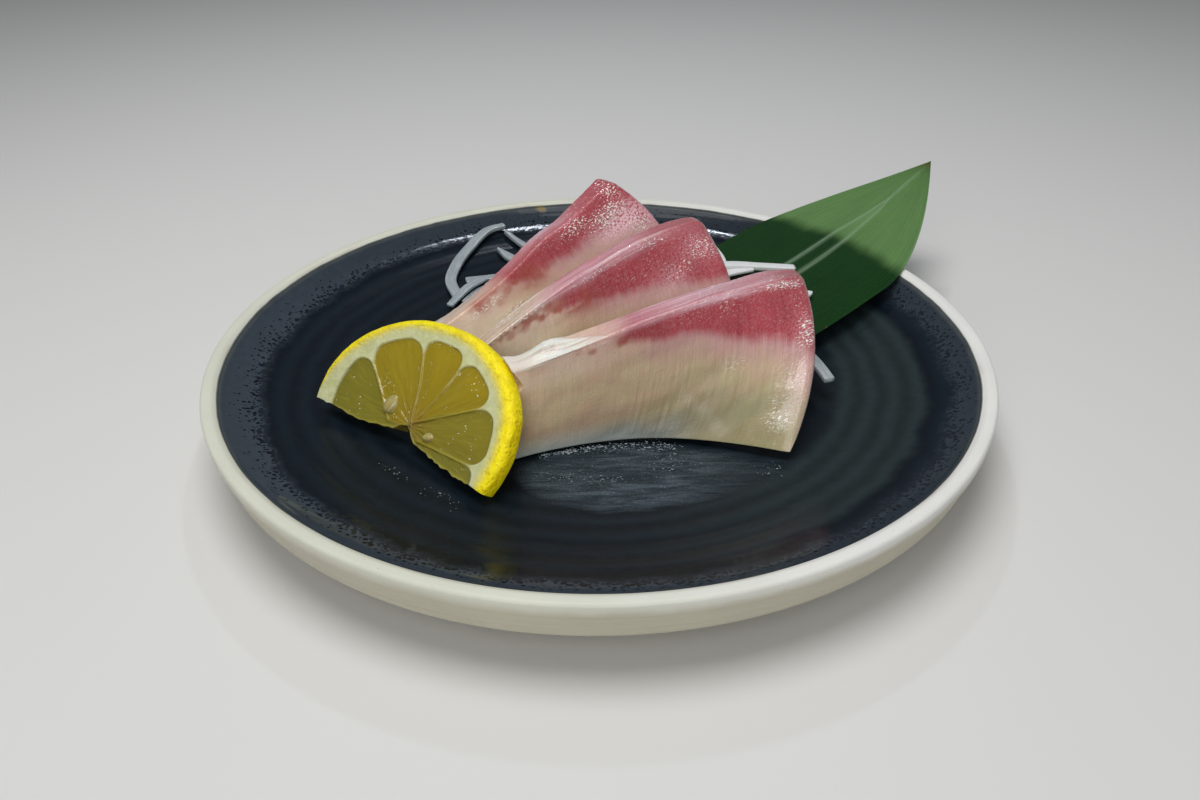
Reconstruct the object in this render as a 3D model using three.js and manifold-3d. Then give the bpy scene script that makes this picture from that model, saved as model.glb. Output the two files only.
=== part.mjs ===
// A sashimi plate: a coupe stoneware plate with three fanned slices of raw yellowtail that lean on a
// heap of shredded daikon, a thick lemon slice that stands against them, and a bamboo leaf laid over the rim.
// Millimetres, +Z up. The origin is the middle of the plate's flat foot, +X to the right, +Y to the back.
import * as THREE from 'three';
import { mergeVertices } from 'three/addons/utils/BufferGeometryUtils.js';
import Module from 'manifold-3d';

const wasm = await Module();
wasm.setup();

// ---- driving dimensions -------------------------------------------------------------------------------
const GAP = 0.35;                 // clearance kept between pieces that touch

const PLATE_RADIUS = 100;
const PLATE_HEIGHT = 20;
const PLATE_SEGMENTS = 48;
const FOOT_RADIUS = 61;
const FOOT_GROOVE = { inner: 45, outer: 54, depth: 1.5, slant: 1.2 };
const RIM_BAND = { width: 4.1, corner: 1.5, depth: 3.2, step: 0.9, steps: 3 };
const WALL_FOOT = { radius: 97.2, height: 9.2 };
const UNDERSIDE = [[96.2, 8.6], [83, 6.1], [70, 3.4], [63.2, 1.9], [61.8, 0.6]]; // from the wall to the foot
const WELL = [                    // the glazed inside, from the middle out to the glaze line under the rim
  [0, 9], [30, 9.2], [55, 9.8], [73, 11], [82, 12.7], [90, 15], [94, 17.2], [95.9, 18.6],
];

// A slice stands on its foot edge and leans back on the heap. length runs along the foot from the narrow
// end, turned by heading from +X. width is measured up the cut face, from the foot to the fold, where the
// skin side starts. The face is an arc that leans by lean at each end and bends back by curl.
const SLICES = {
  front: {
    foot: [-19.4, -43.0, 10.1], heading: -2.1, rise: 2.6, length: 63.1, skew: 6.6, bulge: 4.1,
    lean: [77, 30], curl: [3, 18], width: [21.6, 48.7], flare: 1.2, hollow: 6.4, skin: [17, -11], thick: 4.7,
  },
  middle: {
    foot: [-28.0, -26.2, 11.5], heading: 7.7, rise: 4.3, length: 63.7, skew: -2.3, bulge: 3.9,
    lean: [86, 36.5], curl: [8, 15], width: [17.6, 46.5], flare: 0.9, hollow: 2, skin: [15, -12], thick: 4.5,
  },
  back: {
    foot: [-34.1, -21.3, 11.5], heading: 34.2, rise: 2.3, length: 66.4, skew: -1.9, bulge: 9.1,
    lean: [62.4, 51.8], curl: [13, 20], width: [20, 43.9], flare: 1.2, hollow: 2, skin: [-10, -3.4],
    thick: 4.5,
  },
};
const SLICE_GRID = { along: 15, across: 7 };
const SLICE_FOOT_THICKNESS = 0.55; // of the full thickness, at the foot edge
const SLICE_FOOT_TAPER = 0.4;      // of the width, up which the foot grows to the full thickness
const SLICE_END_LEAST = 0.3;       // of the full thickness, at the very end
const SLICE_END_ROUND = 2.2;       // length over which an end rounds off

// The lemon slice is a sector of a little more than half a wheel, cut from its middle. bend and twist are
// depths at bendSpan from the middle.
const LEMON = {
  middle: [-43.9, -38.5, 15.8], heading: -38.9, lean: 41, radius: 29.8, oval: 0.86,
  start: -11.6, end: 187.4, thick: 5.4, bend: -3.6, twist: 2.7, bendSpan: 30, rings: 6, steps: 26,
};
const LEMON_PRESS = 3;            // how far past the lemon's edge a slice still yields to it

// The leaf is described from its tip backwards along its midrib, with a blunter left side than right.
const LEAF = {
  tip: [112.1, 89.3], heading: 40.9, halfWidth: 28, taper: 61.5, point: { left: 1.6, right: 1.5 },
  length: 97, low: 10.8, high: 35.6, rampLength: 55.3, rampPower: 1.04, thick: 0.5,
  tipWidth: 0.6, steps: 20, stepGrowth: 1.25, across: 8,
};

// The heap is three lumpy mounds joined: one behind each slice, the tallest at the back.
const HEAP = {
  around: 32, up: 6, lumps: [[3, 0.05, 0.4], [5, 0.055, 1.9], [8, 0.04, 0.9]],
  ripple: { size: 0.05, around: 7, up: 9 }, fullness: 0.8,
  mounds: [
    { middle: [-3, 25], radii: [37, 20], turn: 34, height: 24 },
    { middle: [23, 8], radii: [28, 19], turn: 14, height: 18 },
    { middle: [22, -14], radii: [27, 17], turn: -4, height: 8 },
  ],
};

const STRAND = {
  width: 2.8, thick: 1.7, steps: 12,
  corners: [[-1, 0.4], [-0.6, 1], [0.6, 1], [1, 0.4], [1, -0.4], [0.6, -1], [-0.6, -1], [-1, -0.4]],
};
// Points along the underside of each loose shred: x, y and the height above the well.
const STRANDS = {
  curl: [
    [-42.6, 38.7, 0], [-46.3, 49, 0.1], [-45.6, 60, 0.2], [-42, 71.3, 0.3], [-37.6, 79.4, 0.5],
    [-31.6, 83.2, 0.7],
  ],
  short: [[-31.6, 80.2, 0.6], [-26, 74.5, 0.3], [-20, 69, 0.1]],
  pointed: [[-33.6, 70.7, 0.2], [-29.4, 66.5, 0.1], [-23, 60, 0]],
  on_leaf: [[24, 34, 9.6], [31, 39.3, 9.4], [39.2, 43, 9], [49, 43.2, 8.1], [59.2, 42.4, 7.3]],
  right: [[43, 12.5, 7.4], [48.3, 5, 7.1], [52.3, -2.5, 6.6], [55.8, -11.5, 5.7], [58, -18.6, 4.4]],
};

const MATERIALS = {
  stoneware: { color: 0x39414a, roughness: 0.25 },
  fish: { color: 0xd9a79a, roughness: 0.35 },
  lemon: { color: 0xe0c11f, roughness: 0.45 },
  leaf: { color: 0x2f6b33, roughness: 0.5 },
  daikon: { color: 0xdfe3dc, roughness: 0.35 },
};

// ---- helpers ------------------------------------------------------------------------------------------
const radians = THREE.MathUtils.degToRad;
const { lerp } = THREE.MathUtils;
const spread = (count) => Array.from({ length: count + 1 }, (_, i) => i / count);

// Height of the glazed well at a distance from the plate's axis.
function wellHeight(distance) {
  const beyond = WELL.findIndex(([r]) => r > distance);
  const next = beyond < 0 ? WELL.length - 1 : beyond;
  const [r0, z0] = WELL[next - 1];
  const [r1, z1] = WELL[next];
  return lerp(z0, z1, Math.min((distance - r0) / (r1 - r0), 1));
}

// A closed body from closed rings of equally many points, in order. An end that isn't drawn to a point is
// capped by a strip that joins each ring point to the one opposite it across the ring's flat shape.
function loft(rings, capped = true) {
  const count = rings[0].length;
  const index = [];
  rings.slice(1).forEach((_, k) => {
    for (let i = 0; i < count; i += 1) {
      const a = k * count + i;
      const b = k * count + ((i + 1) % count);
      index.push(a, b, b + count, a, b + count, a + count);
    }
  });
  if (capped) {
    const top = (rings.length - 1) * count;
    for (let i = 0; i < count / 2 - 1; i += 1) {
      const j = count - 1 - i;
      index.push(i, j, i + 1, i + 1, j, j - 1);
      index.push(top + i, top + i + 1, top + j, top + i + 1, top + j - 1, top + j);
    }
  }
  return closedGeometry(rings.flat(), index);
}

// Welds shared corners, drops faces that have lost their area, and turns the faces outwards.
function closedGeometry(points, index) {
  let geometry = new THREE.BufferGeometry().setFromPoints(points);
  geometry.setIndex(index);
  geometry = mergeVertices(geometry, 1e-3);
  const source = geometry.index.array;
  const position = geometry.attributes.position;
  const kept = [];
  let volume = 0;
  const [a, b, c] = [new THREE.Vector3(), new THREE.Vector3(), new THREE.Vector3()];
  for (let i = 0; i < source.length; i += 3) {
    const [p, q, r] = source.slice(i, i + 3);
    if (p === q || q === r || r === p) continue;
    kept.push([p, q, r]);
    a.fromBufferAttribute(position, p);
    b.fromBufferAttribute(position, q);
    c.fromBufferAttribute(position, r);
    volume += a.dot(b.cross(c));
  }
  geometry.setIndex(kept.flatMap(([p, q, r]) => (volume > 0 ? [p, q, r] : [p, r, q])));
  return geometry;
}

function toSolid(geometry) {
  return new wasm.Manifold(new wasm.Mesh({
    numProp: 3,
    vertProperties: new Float32Array(geometry.attributes.position.array),
    triVerts: new Uint32Array(geometry.index.array),
  }));
}

// The largest single body of a cut solid, as a geometry.
function fromSolid(solid) {
  const whole = solid.decompose().sort((p, q) => q.volume() - p.volume())[0];
  const mesh = whole.getMesh();
  const geometry = new THREE.BufferGeometry();
  geometry.setAttribute('position', new THREE.BufferAttribute(new Float32Array(mesh.vertProperties), 3));
  geometry.setIndex(new THREE.BufferAttribute(new Uint32Array(mesh.triVerts), 1));
  return geometry;
}

function piece(name, geometry, material) {
  geometry.computeVertexNormals();
  const { color, roughness } = MATERIALS[material];
  const mesh = new THREE.Mesh(geometry, new THREE.MeshStandardMaterial({ color, roughness, metalness: 0 }));
  mesh.name = name;
  return mesh;
}

// ---- plate --------------------------------------------------------------------------------------------
function plateGeometry() {
  const { width, corner, depth, step } = RIM_BAND;
  const rimCorner = spread(RIM_BAND.steps).map((k) => {
    const angle = radians(90 * (1 - k));
    return [
      PLATE_RADIUS - corner + corner * Math.cos(angle),
      PLATE_HEIGHT - corner + corner * Math.sin(angle),
    ];
  });
  const outline = [
    ...WELL,
    [PLATE_RADIUS - width + 0.3, PLATE_HEIGHT - 0.5],
    [PLATE_RADIUS - width + 1, PLATE_HEIGHT],
    ...rimCorner,
    [PLATE_RADIUS - 0.2, PLATE_HEIGHT - depth],
    [PLATE_RADIUS - step, PLATE_HEIGHT - depth - 1.2],
    [PLATE_RADIUS - step - 0.9, WALL_FOOT.height + 2.6],
    [WALL_FOOT.radius + 0.4, WALL_FOOT.height + 0.6],
    ...UNDERSIDE,
    [FOOT_RADIUS, 0],
    [FOOT_GROOVE.outer, 0],
    [FOOT_GROOVE.outer - FOOT_GROOVE.slant, FOOT_GROOVE.depth],
    [FOOT_GROOVE.inner + FOOT_GROOVE.slant, FOOT_GROOVE.depth],
    [FOOT_GROOVE.inner, 0],
    [0, 0],
  ];
  const lathe = new THREE.LatheGeometry(outline.map(([r, z]) => new THREE.Vector2(r, z)), PLATE_SEGMENTS);
  lathe.rotateX(Math.PI / 2);
  lathe.deleteAttribute('normal');
  lathe.deleteAttribute('uv');
  const welded = mergeVertices(lathe, 1e-3);
  const points = spread(welded.attributes.position.count - 1)
    .map((_, i) => new THREE.Vector3().fromBufferAttribute(welded.attributes.position, i));
  return closedGeometry(points, Array.from(welded.index.array));
}

// ---- lemon --------------------------------------------------------------------------------------------
function lemonFrame() {
  const heading = radians(LEMON.heading);
  const lean = radians(LEMON.lean);
  const level = new THREE.Vector3(-Math.sin(heading), Math.cos(heading), 0);
  return {
    side: new THREE.Vector3(Math.cos(heading), Math.sin(heading), 0),
    up: level.clone().multiplyScalar(Math.sin(lean)).setZ(Math.cos(lean)),
    behind: level.clone().multiplyScalar(Math.cos(lean)).setZ(-Math.sin(lean)),
  };
}
const { side, up, behind } = lemonFrame();

const lemonBend = (across, height) => (
  (LEMON.bend * across ** 2 + LEMON.twist * across * height) / LEMON.bendSpan ** 2);

function lemonGeometry(grow = 0) {
  const place = (r, angle, depth) => {
    const across = r * Math.cos(angle);
    const height = r * Math.sin(angle) * LEMON.oval;
    return new THREE.Vector3(...LEMON.middle)
      .addScaledVector(side, across)
      .addScaledVector(up, height)
      .addScaledVector(behind, depth + lemonBend(across, height));
  };
  const rings = spread(LEMON.steps).map((k) => {
    const angle = radians(lerp(LEMON.start, LEMON.end, k));
    const radii = spread(LEMON.rings).map((q) => q * (LEMON.radius + grow));
    const front = radii.map((r) => place(r, angle, -grow));
    const back = radii.map((r) => place(r, angle, LEMON.thick + grow));
    return [...front, ...back.reverse()];
  });
  return loft(rings);
}

// Soft fish gives way where the lemon leans on it: a point in front of the lemon's back moves behind it.
function yieldToLemon(point, gap) {
  const offset = point.clone().sub(new THREE.Vector3(...LEMON.middle));
  const across = offset.dot(side);
  const height = offset.dot(up);
  const depth = offset.dot(behind) - lemonBend(across, height);
  const reach = Math.hypot(across, height / LEMON.oval);
  const hold = THREE.MathUtils.smoothstep(LEMON.radius + LEMON_PRESS - reach, 0, LEMON_PRESS);
  return point.addScaledVector(behind, hold * Math.max(LEMON.thick + gap - depth, 0));
}

// ---- fish slices --------------------------------------------------------------------------------------
// Depth, height and slope of the cut face at v of its width, an arc that starts at lean + curl / 2.
function faceAt(slice, u, v) {
  const lean = radians(lerp(...slice.lean, u));
  const curl = radians(lerp(...slice.curl, u));
  const width = slice.width[0] + (slice.width[1] - slice.width[0]) * Math.max(u, 0) ** slice.flare;
  const start = lean + curl / 2;
  const slope = start - curl * v;
  return {
    depth: width * (Math.sin(start) - Math.sin(slope)) / curl,
    height: width * (Math.cos(slope) - Math.cos(start)) / curl,
    slope,
  };
}

// The point behind the cut face: square to it low down, and along the slanted skin side at the fold.
function backOffset(slice, u, v, slope) {
  const skin = radians(lerp(...slice.skin, u));
  const foldSlope = faceAt(slice, u, 1).slope;
  const skinLength = slice.thick / Math.sin(foldSlope - skin);
  const thick = slice.thick * lerp(SLICE_FOOT_THICKNESS, 1, Math.min(v / SLICE_FOOT_TAPER, 1));
  const blend = v ** 3;
  return {
    depth: lerp(Math.sin(slope) * thick, Math.cos(skin) * skinLength, blend),
    height: lerp(-Math.cos(slope) * thick, Math.sin(skin) * skinLength, blend),
  };
}

function sliceGeometry(slice, grow = 0) {
  const heading = radians(slice.heading);
  const tall = (u) => slice.width[0] + (slice.width[1] - slice.width[0]) * u ** slice.flare;
  const place = (u, v, depth, height) => {
    const along = u * (slice.length + slice.skew * v + slice.bulge * 4 * v * (1 - v));
    const back = depth + slice.hollow * 4 * u * (1 - u) * (1 - v);
    const lift = along * Math.tan(radians(slice.rise)) * (v + (1 - v) * u * u);
    return yieldToLemon(new THREE.Vector3(
      slice.foot[0] + along * Math.cos(heading) - back * Math.sin(heading),
      slice.foot[1] + along * Math.sin(heading) + back * Math.cos(heading),
      slice.foot[2] + height + lift,
    ), GAP);
  };
  const ends = SLICE_END_ROUND / slice.length;
  const between = spread(SLICE_GRID.along).map((k) => lerp(ends, 1 - ends, k));
  const stations = [0, ends / 4, ...between, 1 - ends / 4, 1];
  const rings = stations.map((station) => {
    const u = lerp(-grow / slice.length, 1 + grow / slice.length, station);
    const inside = Math.min(station, 1 - station) / ends;
    const round = inside >= 1 ? 1 : Math.max(Math.sqrt(1 - (1 - inside) ** 2), SLICE_END_LEAST);
    const margin = grow / tall(Math.max(u, 0));
    const pairs = spread(SLICE_GRID.across).map((k) => {
      const v = lerp(-margin, 1 + margin, k);
      const face = faceAt(slice, u, v);
      const offset = backOffset(slice, u, Math.max(v, 0), face.slope);
      const lowest = v < 0 ? face.height : -grow;
      const back = {
        depth: face.depth + offset.depth,
        height: Math.max(face.height + offset.height, lowest),
      };
      const middle = { depth: (face.depth + back.depth) / 2, height: (face.height + back.height) / 2 };
      const reach = Math.hypot(back.depth - face.depth, back.height - face.height);
      const swell = round + (2 * grow) / reach;
      const at = (p) => place(u, v, lerp(middle.depth, p.depth, swell), lerp(middle.height, p.height, swell));
      return [at(face), at(back)];
    });
    return [...pairs.map(([front]) => front), ...pairs.map(([, back]) => back).reverse()];
  });
  return loft(rings);
}

// ---- leaf ---------------------------------------------------------------------------------------------
function leafGeometry(grow = 0) {
  const heading = radians(LEAF.heading);
  const place = (s, c, lift) => {
    const point = c > 0 ? LEAF.point.left : LEAF.point.right;
    const half = (LEAF.halfWidth + grow) * (1 - (1 - Math.min(1, s / LEAF.taper)) ** point);
    const rise = Math.exp(-((s / LEAF.rampLength) ** LEAF.rampPower));
    return new THREE.Vector3(
      LEAF.tip[0] - s * Math.cos(heading) - c * half * Math.sin(heading),
      LEAF.tip[1] - s * Math.sin(heading) + c * half * Math.cos(heading),
      lerp(LEAF.low, LEAF.high, rise) + lift,
    );
  };
  const half = LEAF.thick / 2 + grow;
  const rings = spread(LEAF.steps).map((k) => {
    const s = lerp(LEAF.tipWidth, LEAF.length + grow, k ** LEAF.stepGrowth);
    const columns = spread(LEAF.across).map((q) => lerp(-1, 1, q));
    return [...columns.map((c) => place(s, c, half)), ...columns.map((c) => place(s, c, -half)).reverse()];
  });
  return loft(rings);
}

// ---- daikon -------------------------------------------------------------------------------------------
// A low lumpy dome whose underside follows the well of the plate.
function moundGeometry({ middle, radii, turn, height }) {
  const { around, up: levels, lumps, ripple, fullness } = HEAP;
  const edge = (angle) => (
    lumps.reduce((sum, [count, size, phase]) => sum + size * Math.sin(count * angle + phase), 1));
  const point = (angle, reach, lift) => {
    const x = radii[0] * edge(angle) * reach * Math.cos(angle);
    const y = radii[1] * edge(angle) * reach * Math.sin(angle);
    const t = radians(turn);
    const spot = new THREE.Vector2(x * Math.cos(t) - y * Math.sin(t), x * Math.sin(t) + y * Math.cos(t));
    spot.add(new THREE.Vector2(...middle));
    return new THREE.Vector3(spot.x, spot.y, wellHeight(spot.length()) + GAP + lift);
  };
  const angles = spread(around).slice(0, -1).map((k) => k * 2 * Math.PI);
  const under = spread(2).map((reach) => angles.map((angle) => point(angle, reach, 0)));
  const over = spread(levels).slice(1).map((k) => angles.map((angle) => {
    const tilt = radians(90 * k);
    const bump = 1 + ripple.size * Math.sin(ripple.around * angle + ripple.up * tilt) * Math.cos(tilt);
    return point(angle, Math.cos(tilt), height * bump * Math.sin(tilt) ** fullness);
  }));
  return loft([...under, ...over], false);
}

// The slices, the lemon, the leaf and the loose shreds are cut out of the heap with their clearance.
function heapGeometry(cutters) {
  const mounds = HEAP.mounds.map((mound) => toSolid(moundGeometry(mound)));
  const heap = mounds.reduce((joined, mound) => joined.add(mound));
  return fromSolid(cutters.reduce((solid, cutter) => solid.subtract(toSolid(cutter)), heap));
}

// A flat ribbon with broken corners that follows the path level across its width.
function strandGeometry(points, grow = 0) {
  const path = new THREE.CatmullRomCurve3(points.map(([x, y, lift]) => (
    new THREE.Vector3(x, y, wellHeight(Math.hypot(x, y)) + GAP + STRAND.thick / 2 + lift))));
  const rings = spread(STRAND.steps).map((k) => {
    const tangent = path.getTangent(k);
    const middle = path.getPoint(k).addScaledVector(tangent, grow * (2 * k - 1));
    const side = new THREE.Vector3(-tangent.y, tangent.x, 0).normalize();
    return STRAND.corners.map(([x, y]) => middle.clone()
      .addScaledVector(side, x * (STRAND.width / 2 + grow))
      .setZ(middle.z + y * (STRAND.thick / 2 + grow)));
  });
  return loft(rings);
}

// ---- assembly -----------------------------------------------------------------------------------------
const sashimiPlate = new THREE.Group();
sashimiPlate.add(piece('plate', plateGeometry(), 'stoneware'));
Object.entries(SLICES).forEach(([name, slice]) => {
  sashimiPlate.add(piece(`sashimi_slice_${name}`, sliceGeometry(slice), 'fish'));
});
sashimiPlate.add(piece('lemon_slice', lemonGeometry(), 'lemon'));
sashimiPlate.add(piece('bamboo_leaf', leafGeometry(), 'leaf'));
const heapCutters = [
  ...Object.values(SLICES).map((slice) => sliceGeometry(slice, GAP)),
  lemonGeometry(GAP),
  leafGeometry(GAP),
  ...Object.values(STRANDS).map((points) => strandGeometry(points, GAP)),
];
sashimiPlate.add(piece('daikon_heap', heapGeometry(heapCutters), 'daikon'));
Object.entries(STRANDS).forEach(([name, points]) => {
  sashimiPlate.add(piece(`daikon_strand_${name}`, strandGeometry(points), 'daikon'));
});

export default sashimiPlate;
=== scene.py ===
"""A sashimi plate, as a Blender add-on: a thrown stoneware plate with raw fish, lemon, a leaf and radish.

The shape formulas are in millimetres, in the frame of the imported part: +Z up, +X to the right and +Y to
the back, from the middle of the plate's foot. A mesh is put into Blender in metres.
"""

import math

import bpy
import numpy as np
from bpy.props import FloatProperty, FloatVectorProperty, IntProperty, PointerProperty
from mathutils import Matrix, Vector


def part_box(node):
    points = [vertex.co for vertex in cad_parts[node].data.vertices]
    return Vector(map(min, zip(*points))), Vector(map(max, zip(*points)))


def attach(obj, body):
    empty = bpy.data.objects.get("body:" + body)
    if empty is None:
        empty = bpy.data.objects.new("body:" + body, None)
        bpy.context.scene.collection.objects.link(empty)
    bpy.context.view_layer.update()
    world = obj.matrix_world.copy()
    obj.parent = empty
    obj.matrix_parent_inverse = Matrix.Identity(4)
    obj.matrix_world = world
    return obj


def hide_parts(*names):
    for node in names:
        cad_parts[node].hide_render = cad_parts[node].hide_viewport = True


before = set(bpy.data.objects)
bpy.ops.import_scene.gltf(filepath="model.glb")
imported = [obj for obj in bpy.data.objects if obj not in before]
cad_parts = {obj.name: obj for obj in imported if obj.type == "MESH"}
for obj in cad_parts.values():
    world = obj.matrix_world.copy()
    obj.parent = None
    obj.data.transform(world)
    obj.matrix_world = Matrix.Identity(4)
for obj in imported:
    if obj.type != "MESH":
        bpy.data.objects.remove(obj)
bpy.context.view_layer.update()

bl_info = {
    "name": "Sashimi Plate",
    "version": (1, 0, 0),
    "blender": (4, 5, 0),
    "location": "View3D > Sidebar > Sashimi",
    "description": "Builds a stoneware plate with sliced raw fish, lemon, a leaf and shredded radish",
    "category": "Add Mesh",
}

MM = 0.001
TURN = 2 * math.pi
BODY = "root"

# ---- driving dimensions, in millimetres and degrees ----

PLATE_RADIUS = round(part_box("plate")[1].x / MM, 2)
WELL = ((0, 9), (30, 9.2), (55, 9.8), (73, 11), (82, 12.7), (90, 15), (94, 17.2), (95.9, 18.6))
RIM_TOP = ((96.3, 19.2), (97.2, 19.8), (97.9, 20))
RIM_CORNER = 0.9
WALL = ((99.8, 16.8), (99.1, 15.6), (98.2, 11.8), (97.6, 9.8))
UNDERSIDE = ((96.2, 8.6), (83, 6.1), (70, 3.4), (63.2, 1.9), (61.8, 0.6), (61, 0))
FOOT_RING = ((54, 0), (52.8, 1.5), (46.2, 1.5), (45, 0), (0, 0))
GLAZE_LINE = 95.9
# Distances from the middle over which the throwing rings come in and die out, the glaze ends, it pales at
# the rim, and the green-grey ring comes in and goes. Then where it starts to run thin up the wall.
RINGS_IN, RINGS_OUT = (18, 48), (82, 88)
GLAZE_END, GLAZE_PALES = (96.15, 96.5), (94.6, 96.4)
MOSS_IN, MOSS_OUT = (58, 67), (82.5, 86)
SLATE_START = 88.8
CLAY_SPOT = (-19.5, 93.4)
# Rows of the plate's outline: those of the well, those that are glazed, and where the wall starts.
WELL_ROWS = 150
GLAZED_ROWS = 159
WALL_ROW = 171
# Room left between a piece and what it lies on or leans on.
CLEARANCE = 0.35

# A slice stands on its foot edge. In a table that runs along a slice, each pair is a place along it and the
# value there. Places along, up and across a slice go from 0 to 1.
# foot, heading, rise: where the foot starts, its direction and how steeply it climbs
# length, width: along the foot, and up the cut face from the foot to the fold, where the skin side starts
# lean, curl, skin: angles at both ends of the arc that the face is, and of the skin side behind the fold
# skew, bulge, flare, hollow, arch: how the outline departs from straight, and how high the foot lifts
# belly, lump: a place along, a spread, and how much wider the slice or how much higher its skin side is there
# hidden: how far the slice goes on past its narrow end, behind the lemon
# red, begin: how far up the width the red muscle starts, and the stretch over which it comes in
# sheet, across: how much pale skin covers the skin side along the slice, and from the fold to the back
# roll: how far and how strongly that skin comes over the fold onto the face, its pale colour there partly a
# painted sheen where the face turns up to the light
# cream, dim, glow: how pale the narrow end is, how much painted shade darkens the foot, and how bright the
# painted highlight along the fold is
# rust, tan: the stretch with brown-red blots, and how much of that colour its skin side has
# spots: place along, place up, radius and depth of colour of each dark spot
# sheen, wet: place along, place up, both spreads and the amount of each painted sheen patch and each wet
# patch, where glints are painted too
SLICES = {
    "front": dict(
        foot=(-19.4, -43.0, 10.1), heading=-2.1, rise=2.6, length=63.1, skew=6.6, bulge=4.1,
        lean=(77, 30), curl=(3, 18), width=(21.6, 48.7), flare=1.2, hollow=8.4, skin=(17, -11), thick=4.7,
        red=((0, 1), (0.3, 0.95), (0.4, 0.86), (0.45, 0.83), (0.55, 0.82), (0.65, 0.74), (0.75, 0.68),
             (0.87, 0.65), (1, 0.53)),
        sheet=((0, 0.3), (0.28, 0.15), (0.35, 0.4), (0.45, 0.8), (0.55, 1), (0.72, 0.95), (0.85, 0.8),
               (0.93, 0.3), (1, 0.1)),
        across=(0.75, 1), roll=(0.07, 1), cream=0.6, dim=1, glow=0.35,
        sheen=((0.9, 0.95, 0.18, 0.03, 0.1), (0.98, 0.66, 0.05, 0.1, 0.3), (0.96, 0.3, 0.06, 0.16, 0.35)),
        belly=(0.5, 0.12, 0), lump=(0.1, 0.05, 1.3),
        begin=(0.27, 0.38), rust=(0, 0), tan=0, hidden=0.13, arch=0.2,
        spots=((0.35, 0.905, 1.5, 0.9), (0.25, 0.91, 1.0, 0.6), (0.207, 0.96, 0.9, 0.4)),
        wet=((0.9, 0.955, 0.1, 0.03, 1), (0.97, 0.66, 0.04, 0.12, 1), (0.94, 0.4, 0.06, 0.15, 0.65),
             (0.915, 0.2, 0.06, 0.1, 0.75), (0.72, 0.5, 0.06, 0.08, 0.35), (0.25, 0.94, 0.06, 0.03, 0.4)),
    ),
    "middle": dict(
        foot=(-28.0, -26.2, 11.5), heading=7.7, rise=4.3, length=63.7, skew=-2.3, bulge=3.9,
        lean=(86, 36.5), curl=(8, 15), width=(17.6, 46.5), flare=0.9, hollow=2, skin=(15, -12), thick=4.5,
        red=((0, 0.97), (0.2, 0.93), (0.3, 0.87), (0.37, 0.82), (0.49, 0.775), (0.56, 0.74), (0.72, 0.7),
             (0.85, 0.66), (1, 0.61)),
        sheet=((0, 0.9), (0.2, 0.8), (0.3, 0.8), (0.42, 0.9), (0.55, 1), (0.67, 0.95), (0.76, 0.3),
               (0.88, 0.2), (1, 0.1)),
        across=(0.75, 0.65), roll=(0.1, 1), cream=1, dim=0, glow=0.6,
        sheen=((0.92, 0.83, 0.1, 0.1, 0.3), (0.76, 0.71, 0.08, 0.08, 0.3)),
        belly=(0.5, 0.12, 0), lump=(0.1, 0.05, 0),
        begin=(0.2, 0.36), rust=(0.05, 0.42), tan=0, hidden=0.1, arch=0,
        spots=((0.19, 0.92, 1.8, 0.6), (0.277, 0.92, 1.3, 0.6), (0.12, 0.895, 1.4, 0.5),
               (0.407, 0.86, 1.5, 0.6), (0.08, 0.93, 1.0, 0.5)),
        wet=((0.93, 0.83, 0.08, 0.1, 1), (0.7, 0.965, 0.12, 0.03, 0.9), (0.82, 0.75, 0.1, 0.12, 0.5),
             (0.31, 0.8, 0.06, 0.06, 0.4), (0.5, 0.95, 0.15, 0.03, 0.6), (0.16, 0.97, 0.14, 0.035, 0.75)),
    ),
    "back": dict(
        foot=(-34.1, -21.3, 11.5), heading=34.2, rise=2.3, length=66.4, skew=-1.9, bulge=9.1,
        lean=(62.4, 51.8), curl=(13, 20), width=(20, 43.9), flare=1.2, hollow=2, skin=(-10, -3.4), thick=4.5,
        red=((0, 0.99), (0.2, 0.98), (0.34, 0.94), (0.42, 0.86), (0.5, 0.83), (0.65, 0.84), (0.8, 0.82),
             (0.9, 0.76), (1, 0.66)),
        sheet=((0, 0.9), (0.2, 0.75), (0.32, 0.3), (0.45, 0.4), (0.6, 0.9), (0.68, 0.8), (0.77, 0.3),
               (0.88, 0.1), (1, 0)),
        across=(0.2, 1), roll=(0.02, 0.15), cream=1, dim=0, glow=0.1,
        sheen=((0.87, 0.79, 0.13, 0.085, 1.1), (0.97, 0.72, 0.1, 0.08, 0.7)),
        belly=(0.53, 0.12, 1.3), lump=(0.1, 0.05, 0),
        begin=(0.2, 0.38), rust=(0.1, 0.44), tan=0.15, hidden=0.07, arch=0,
        spots=((0.173, 0.94, 1.5, 0.7), (0.223, 0.95, 1.3, 0.6), (0.257, 0.86, 1.4, 0.4),
               (0.307, 0.9, 1.6, 0.5), (0.42, 0.88, 4.5, 0.5)),
        wet=((0.83, 0.87, 0.13, 0.07, 1), (0.7, 0.94, 0.1, 0.05, 1), (0.92, 0.72, 0.05, 0.08, 0.8),
             (0.3, 0.71, 0.08, 0.05, 0.9), (0.95, 0.96, 0.05, 0.06, 0.8), (0.2, 0.9, 0.1, 0.06, 0.7)),
    ),
}
# The round of a slice's long corners, how far from its ends it thins, and the round of its wide end's top.
SLICE_CORNER = 0.45
SLICE_END_ROUND = 2.2
SLICE_FOLD_CORNER = 2.2
# A pale seam across the front slice's foot, as places along it and up its width.
SEAM = ((0.57, 0.32), (0.66, 0.18), (0.74, 0.06))
# How far back the white fat reaches on the front slice's skin side, along the slice.
FAT_REACH = ((-0.13, 1.2), (0.12, 1), (0.24, 0.42), (0.31, 0))

# The slice is part of a round one: its middle, the heading and lean of its face, its radius, its height as
# a share of its width, the angles where it starts and ends, and how it bows and twists, bend_span out.
LEMON = dict(
    middle=(-43.9, -38.5, 15.8), heading=-38.9, lean=41, radius=29.8, oval=0.86, start=-11.6, end=187.4,
    thick=5.4, bend=-3.6, twist=2.7, bend_span=30,
)
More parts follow.
